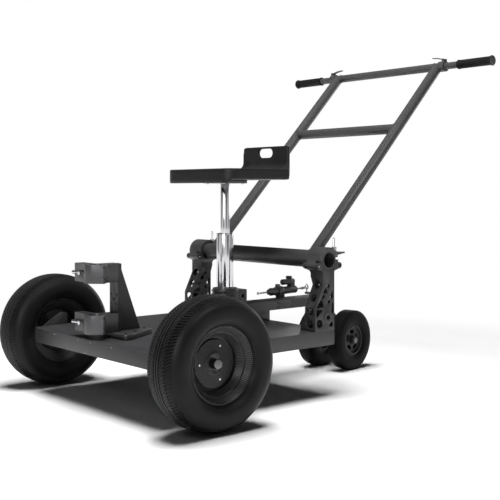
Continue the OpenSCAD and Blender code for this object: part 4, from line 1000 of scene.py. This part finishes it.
@dataclass
class TreadTyre:
    """Big pneumatic tyre with a ribbed middle and two rows of slanted lugs on each side."""

    name: str
    body: str
    side: int
    crown: float = 0.2
    half_width: float = 0.0739
    section: float = 0.0475
    wall: float = 0.009
    power: float = 0.75
    pitches: int = 124
    gap_steps: tuple[tuple[float, float], ...] = ((0.0, 0.0), (0.10, 1.0), (0.34, 1.0), (0.44, 0.0), (0.72, 0.0))
    columns: tuple[TreadColumn, ...] = tuple(TreadColumn(*numbers) for numbers in (
        (0.0, 0.003), (0.0024, 0.003), (0.0034,), (0.0083,), (0.0092, 0.0045), (0.0128, 0.0045),
        (0.0137, 0.0, 0.0034), (0.0185, 0.0, 0.0034), (0.0235, 0.0, 0.0034), (0.0285, 0.0, 0.0034),
        (0.0332, 0.0, 0.0034), (0.0339, 0.0026), (0.0352, 0.0026), (0.0359, 0.0, 0.0032), (0.0405, 0.0, 0.0032),
        (0.0455, 0.0, 0.003), (0.0505, 0.0, 0.0028), (0.0548, 0.0, 0.0022), (0.0575,),
    ))
    rows: tuple[tuple[float, float, float, float], ...] = ((0.0137, 0.0332, 72.0, 0.0), (0.0359, 0.0548, 52.0, 0.5))
    bead_turn: float = -48.0
    lip_turn: float = 6.0
    flank_steps: int = 16
    inner_steps: int = 9

    def squared(self, value: float) -> float:
        """Bends a sine or cosine to the section's squareness."""
        return math.copysign(abs(value) ** self.power, value)

    def ring_point(self, turn: float, inset: float) -> tuple[float, float]:
        """Gives a point of the section.

        Args:
            turn: Angle in degrees, 0 at the side and 90 at the crown.
            inset: Distance inside the outer surface.

        Returns:
            Distance from the middle and radius.
        """
        angle = math.radians(turn)
        x = (self.half_width - inset) * self.squared(math.cos(angle))
        return x, self.crown - self.section + (self.section - inset) * self.squared(math.sin(angle))

    def radius_at(self, x: float) -> float:
        """Gives the outer radius at a distance from the middle."""
        cosine = (x / self.half_width) ** (1 / self.power)
        return self.crown - self.section + self.section * self.squared(math.sqrt(1 - cosine**2))

    def shift_at(self, x: float) -> float:
        """Gives how far the lugs lean at a distance from the middle, in pitches."""
        lean = 0.0
        for inner, outer, slant, jump in self.rows:
            if x >= inner - 1e-6:
                lean += jump + slant * (min(x, outer) - inner)
        return lean

    def outline(self) -> list[tuple[float, float, float, float, float]]:
        """Lists the closed section, each point with its depth, its lug depth and its lean.

        Returns:
            Distance from the middle, radius, depth, lug depth and lean of each point.
        """
        half = [(c.x, self.radius_at(c.x), c.depth, c.lug, self.shift_at(c.x)) for c in self.columns]
        last = half[-1][4]
        start = math.degrees(math.acos((self.columns[-1].x / self.half_width) ** (1 / self.power)))
        flank = [
            start + (self.bead_turn - start) * (i / self.flank_steps) for i in range(1, self.flank_steps + 1)
        ]
        half += [(*self.ring_point(turn, 0.0), 0.0, 0.0, last) for turn in flank]
        lip = self.bead_turn + self.lip_turn
        inner = [lip + (90 - lip) * (i / self.inner_steps) for i in range(self.inner_steps + 1)]
        half += [(*self.ring_point(turn, self.wall), 0.0, 0.0, 0.0) for turn in inner]
        mirrored = [(-x, r, depth, lug, lean) for x, r, depth, lug, lean in half[1:-1]]
        return half + mirrored[::-1]

    def build(self) -> bpy.types.Object:
        """Turns the section about the axle and presses the tread into it.

        Returns:
            The new object.
        """
        bm = bmesh.new()
        mark = bm.verts.layers.int.new("column")
        section = self.outline()
        loop = []
        for i, (x, radius, *_) in enumerate(section):
            vert = bm.verts.new((x, 0.0, radius))
            vert[mark] = i
            loop.append(vert)
        steps = self.pitches * len(self.gap_steps)
        spin_section(bm, loop, ACROSS, steps)
        middle = Vector((self.side * HALF_TRACK, AXLE_Y, AXLE_Z))
        for vert in bm.verts:
            x, radius, depth, lug, lean = section[vert[mark]]
            turn = math.atan2(vert.co.z, -vert.co.y) / (2 * math.pi)
            pitch, step = divmod(round(turn * steps) % steps, len(self.gap_steps))
            place, gap = self.gap_steps[step]
            angle = 2 * math.pi * (pitch + place + lean) / self.pitches
            radius -= depth + gap * lug
            vert.co = middle + Vector((x, -radius * math.cos(angle), radius * math.sin(angle)))
        bmesh.ops.recalc_face_normals(bm, faces=bm.faces)
        return deliver(bm, self.name, self.body, Shade.TYRE, [self.name.replace("_treaded", "")], crease=28.0)


# seat


@dataclass
class SeatShell:
    """Moulded seat with soft edges and a hand slot, grown from the CAD shell."""

    voxel: float = 0.0032
    rounds: int = 9
    softness: float = 0.6
    body: str = "seat"

    def build(self) -> bpy.types.Object:
        """Builds the shell as one even skin with rounded edges.

        Returns:
            The new object.
        """
        bm = node_copy("seat_shell")
        bmesh.ops.triangulate(bm, faces=bm.faces)
        rough = placed("seat_raw", mesh_of(bm, "seat_raw"))
        remesh = rough.modifiers.new("even", "REMESH")
        remesh.mode = "VOXEL"
        remesh.voxel_size = self.voxel
        smooth = rough.modifiers.new("soft", "SMOOTH")
        smooth.factor = self.softness
        smooth.iterations = self.rounds
        graph = bpy.context.evaluated_depsgraph_get()
        even = bmesh.new()
        even.from_mesh(rough.evaluated_get(graph).to_mesh())
        bpy.data.objects.remove(rough)
        return deliver(even, "seat_shell_moulded", self.body, Shade.MOULDED, ["seat_shell"], crease=180.0)


# welds


@dataclass(frozen=True)
class Weld:
    """Weld bead where one round tube meets the side of another."""

    name: str
    body: str
    centre: Point
    main_axis: Point
    main_radius: float
    branch_axis: Point
    branch_radius: float
    bead: float = 0.0028
    steps: int = 72
    ripples: int = 34
    ripple_share: float = 0.12
    sides: int = 8

    def build(self) -> bpy.types.Object:
        """Builds the bead along the line where the two tubes meet.

        Returns:
            The new object.
        """
        along = Vector(self.branch_axis).normalized()
        across = Vector(self.main_axis).normalized()
        third = along.cross(across).normalized()
        across = third.cross(along).normalized()
        bm = bmesh.new()
        rings: list[list[bmesh.types.BMVert]] = []
        for i in range(self.steps):
            turn = 2 * math.pi * i / self.steps
            side = across * math.cos(turn) + third * math.sin(turn)
            reach = self.branch_radius * math.sin(turn)
            rise = math.sqrt(max(self.main_radius**2 - reach**2, 0.0))
            spot = Vector(self.centre) + side * self.branch_radius + along * rise
            thick = self.bead * (1.0 + self.ripple_share * math.sin(self.ripples * turn))
            made = bmesh.ops.create_circle(bm, segments=self.sides, radius=thick)["verts"]
            forward = (third * math.cos(turn) - across * math.sin(turn)).normalized()
            matrix = facing(tuple(spot), tuple(forward))
            bmesh.ops.transform(bm, matrix=matrix, verts=made)
            rings.append(made)
        for i, ring in enumerate(rings):
            pair = (ring, rings[(i + 1) % len(rings)])
            edges = [e for e in bm.edges if any(e.verts[0] in end and e.verts[1] in end for end in pair)]
            bmesh.ops.bridge_loops(bm, edges=edges)
        bmesh.ops.recalc_face_normals(bm, faces=bm.faces)
        return deliver(bm, self.name, self.body, Shade.TUBE, crease=60.0)


def handle_welds() -> list[Weld]:
    """Lists the welds of the handle's joints, four to a leg."""
    welds = []
    for side, label in SIDES:
        x = side * LEG_X
        inward, outward = (-float(side), 0.0, 0.0), (float(side), 0.0, 0.0)
        foot = Weld(
            f"foot_weld_{label}", "handle", (x, *CROSS_SPOT), ACROSS, CROSS_RADIUS, LEG_WAY, LEG_RADIUS, 0.0021
        )
        welds.append(foot)
        for stem, spot, way, radius in (
            ("bar", BAR_SPOT, inward, BAR_RADIUS), ("tee", TEE_SPOT, inward, TEE_RADIUS),
            ("arm", TEE_SPOT, outward, TEE_RADIUS),
        ):
            name = f"{stem}_weld_{label}"
            welds.append(Weld(name, "handle", (x, *spot), LEG_WAY, LEG_RADIUS, way, radius, 0.0022))
    return welds


# stage


@dataclass
class Studio:
    """Camera, floor, world and lamps."""

    eye: Point = (2.6308, -2.2737, 0.7021)
    look: float = 49.319
    lens: float = 67.87
    drop: float = -0.117
    floor_half: float = 14.0
    fade: tuple[float, float] = (1.1, 2.1)
    soft_light: float = 0.03
    panels: float = 5.0

    def camera(self) -> None:
        """Makes the camera, level, with a vertical shift for the frame."""
        data = bpy.data.cameras.new("camera")
        data.lens = self.lens
        data.sensor_width = 36.0
        data.shift_y = self.drop
        data.clip_end = 60.0
        camera = placed("camera", data)
        camera.location = self.eye
        camera.rotation_euler = (math.radians(90.0), 0.0, math.radians(self.look))
        bpy.context.scene.camera = camera

    def floor(self) -> None:
        """Lays a pale floor that fades to the white background."""
        bm = bmesh.new()
        bmesh.ops.create_grid(bm, x_segments=2, y_segments=2, size=self.floor_half)
        mesh = mesh_of(bm, "floor")
        floor = placed("floor", mesh)
        material = bpy.data.materials.new("pale_floor")
        material.use_nodes = True
        material.node_tree.nodes.clear()
        desk = NodeDesk(material.node_tree)
        out = desk.add("ShaderNodeOutputMaterial")
        lit = desk.add("ShaderNodeBsdfDiffuse")
        lit.inputs["Color"].default_value = (0.93, 0.93, 0.93, 1)
        glow = desk.add("ShaderNodeEmission")
        glow.inputs["Color"].default_value = (1, 1, 1, 1)
        place = desk.add("ShaderNodeTexCoord").outputs["Object"]
        length = desk.add("ShaderNodeVectorMath", operation="LENGTH")
        desk.join(place, length.inputs[0])
        far = desk.span(length.outputs["Value"], *self.fade, 0.0, 1.0)
        path = desk.add("ShaderNodeLightPath")
        seen = desk.math("MAXIMUM", path.outputs["Is Camera Ray"], path.outputs["Is Glossy Ray"])
        mix = desk.mixed(desk.math("MULTIPLY", far, seen), lit.outputs[0], glow.outputs[0])
        desk.join(mix, out.inputs[0])
        mesh.materials.append(material)

    def world(self) -> None:
        """Makes the world: soft grey light, seen as white, with a low band of bright panels in gloss."""
        world = bpy.data.worlds.new("studio")
        bpy.context.scene.world = world
        world.use_nodes = True
        world.node_tree.nodes.clear()
        desk = NodeDesk(world.node_tree)
        out = desk.add("ShaderNodeOutputWorld")
        sky = desk.add("ShaderNodeTexCoord").outputs["Generated"]
        way = desk.add("ShaderNodeSeparateXYZ")
        desk.join(sky, way.inputs[0])
        round_about = desk.math("ARCTAN2", way.outputs["Y"], way.outputs["X"])
        turns = desk.math("MULTIPLY", round_about, self.panels / math.tau)
        panels = desk.span(desk.math("PINGPONG", turns, 0.5), 0.12, 0.2, 0.25, 1.0)
        low = desk.span(way.outputs["Z"], 0.0, 0.45, 0.62, 0.12)
        glossy = desk.white_light(desk.math("MULTIPLY", low, panels))
        path = desk.add("ShaderNodeLightPath")
        hidden = desk.mixed(path.outputs["Is Glossy Ray"], desk.white_light(self.soft_light), glossy)
        shown = desk.mixed(path.outputs["Is Camera Ray"], hidden, desk.white_light(1.0))
        desk.join(shown, out.inputs[0])

    def lamp(
        self, name: str, place: Point, aim: Point, size: tuple[float, float], power: float,
        diffuse: bool = True, glossy: bool = True,
    ) -> None:
        """Hangs one soft box.

        Args:
            name: The lamp's name.
            place: Where it hangs.
            aim: The point that it faces.
            size: Its width and height in metres.
            power: Its power in watts.
            diffuse: Whether it lights matt surfaces.
            glossy: Whether it shows in glossy surfaces.
        """
        data = bpy.data.lights.new(name, "AREA")
        data.shape = "RECTANGLE"
        data.size, data.size_y = size
        data.energy = power
        lamp = placed(name, data)
        lamp.visible_camera = False
        lamp.visible_diffuse = diffuse
        lamp.visible_glossy = glossy
        lamp.location = place
        lamp.rotation_euler = (Vector(aim) - Vector(place)).to_track_quat("-Z", "Y").to_euler()

    def lamps(self) -> None:
        """Hangs the soft boxes."""
        self.lamp("overhead", (0.1, -0.45, 3.2), (0.0, -0.1, 0.0), (1.7, 1.7), 185.0, glossy=False)
        self.lamp("front", (0.4, -2.9, 2.6), (0.0, -0.6, 0.2), (2.6, 0.8), 3.0)
        self.lamp("shoulder", (1.7, -3.0, 1.5), (0.5, -0.5, 0.2), (2.2, 1.4), 34.0, diffuse=False)
        self.lamp("near_side", (2.6, 0.1, 2.7), (0.3, 0.4, 0.8), (1.3, 1.3), 26.0, diffuse=False)
        self.lamp("rear", (-0.8, 3.4, 1.3), (0.0, 0.2, 0.5), (3.6, 1.2), 22.0, diffuse=False)


# the cart


def main() -> None:
    """Builds the stage and every piece of the cart."""
    logging.basicConfig(level=logging.INFO, format="%(message)s")
    bpy.context.scene.view_settings.view_transform = "Standard"
    studio = Studio()
    studio.camera()
    studio.floor()
    studio.world()
    studio.lamps()
    for node, dress in DRESSES.items():
        dress_node(node, dress)
    for side, label in SIDES:
        TreadTyre(f"tyre_{label}_treaded", f"wheel_{label}", side).build()
        RibRing().build(label, side)
    SeatShell().build()
    for ring in TURNED_RINGS:
        ring.build()
    for weld in handle_welds():
        weld.build()
    for screws in SCREW_SETS:
        screws.build()


if __name__ == "__main__":
    main()
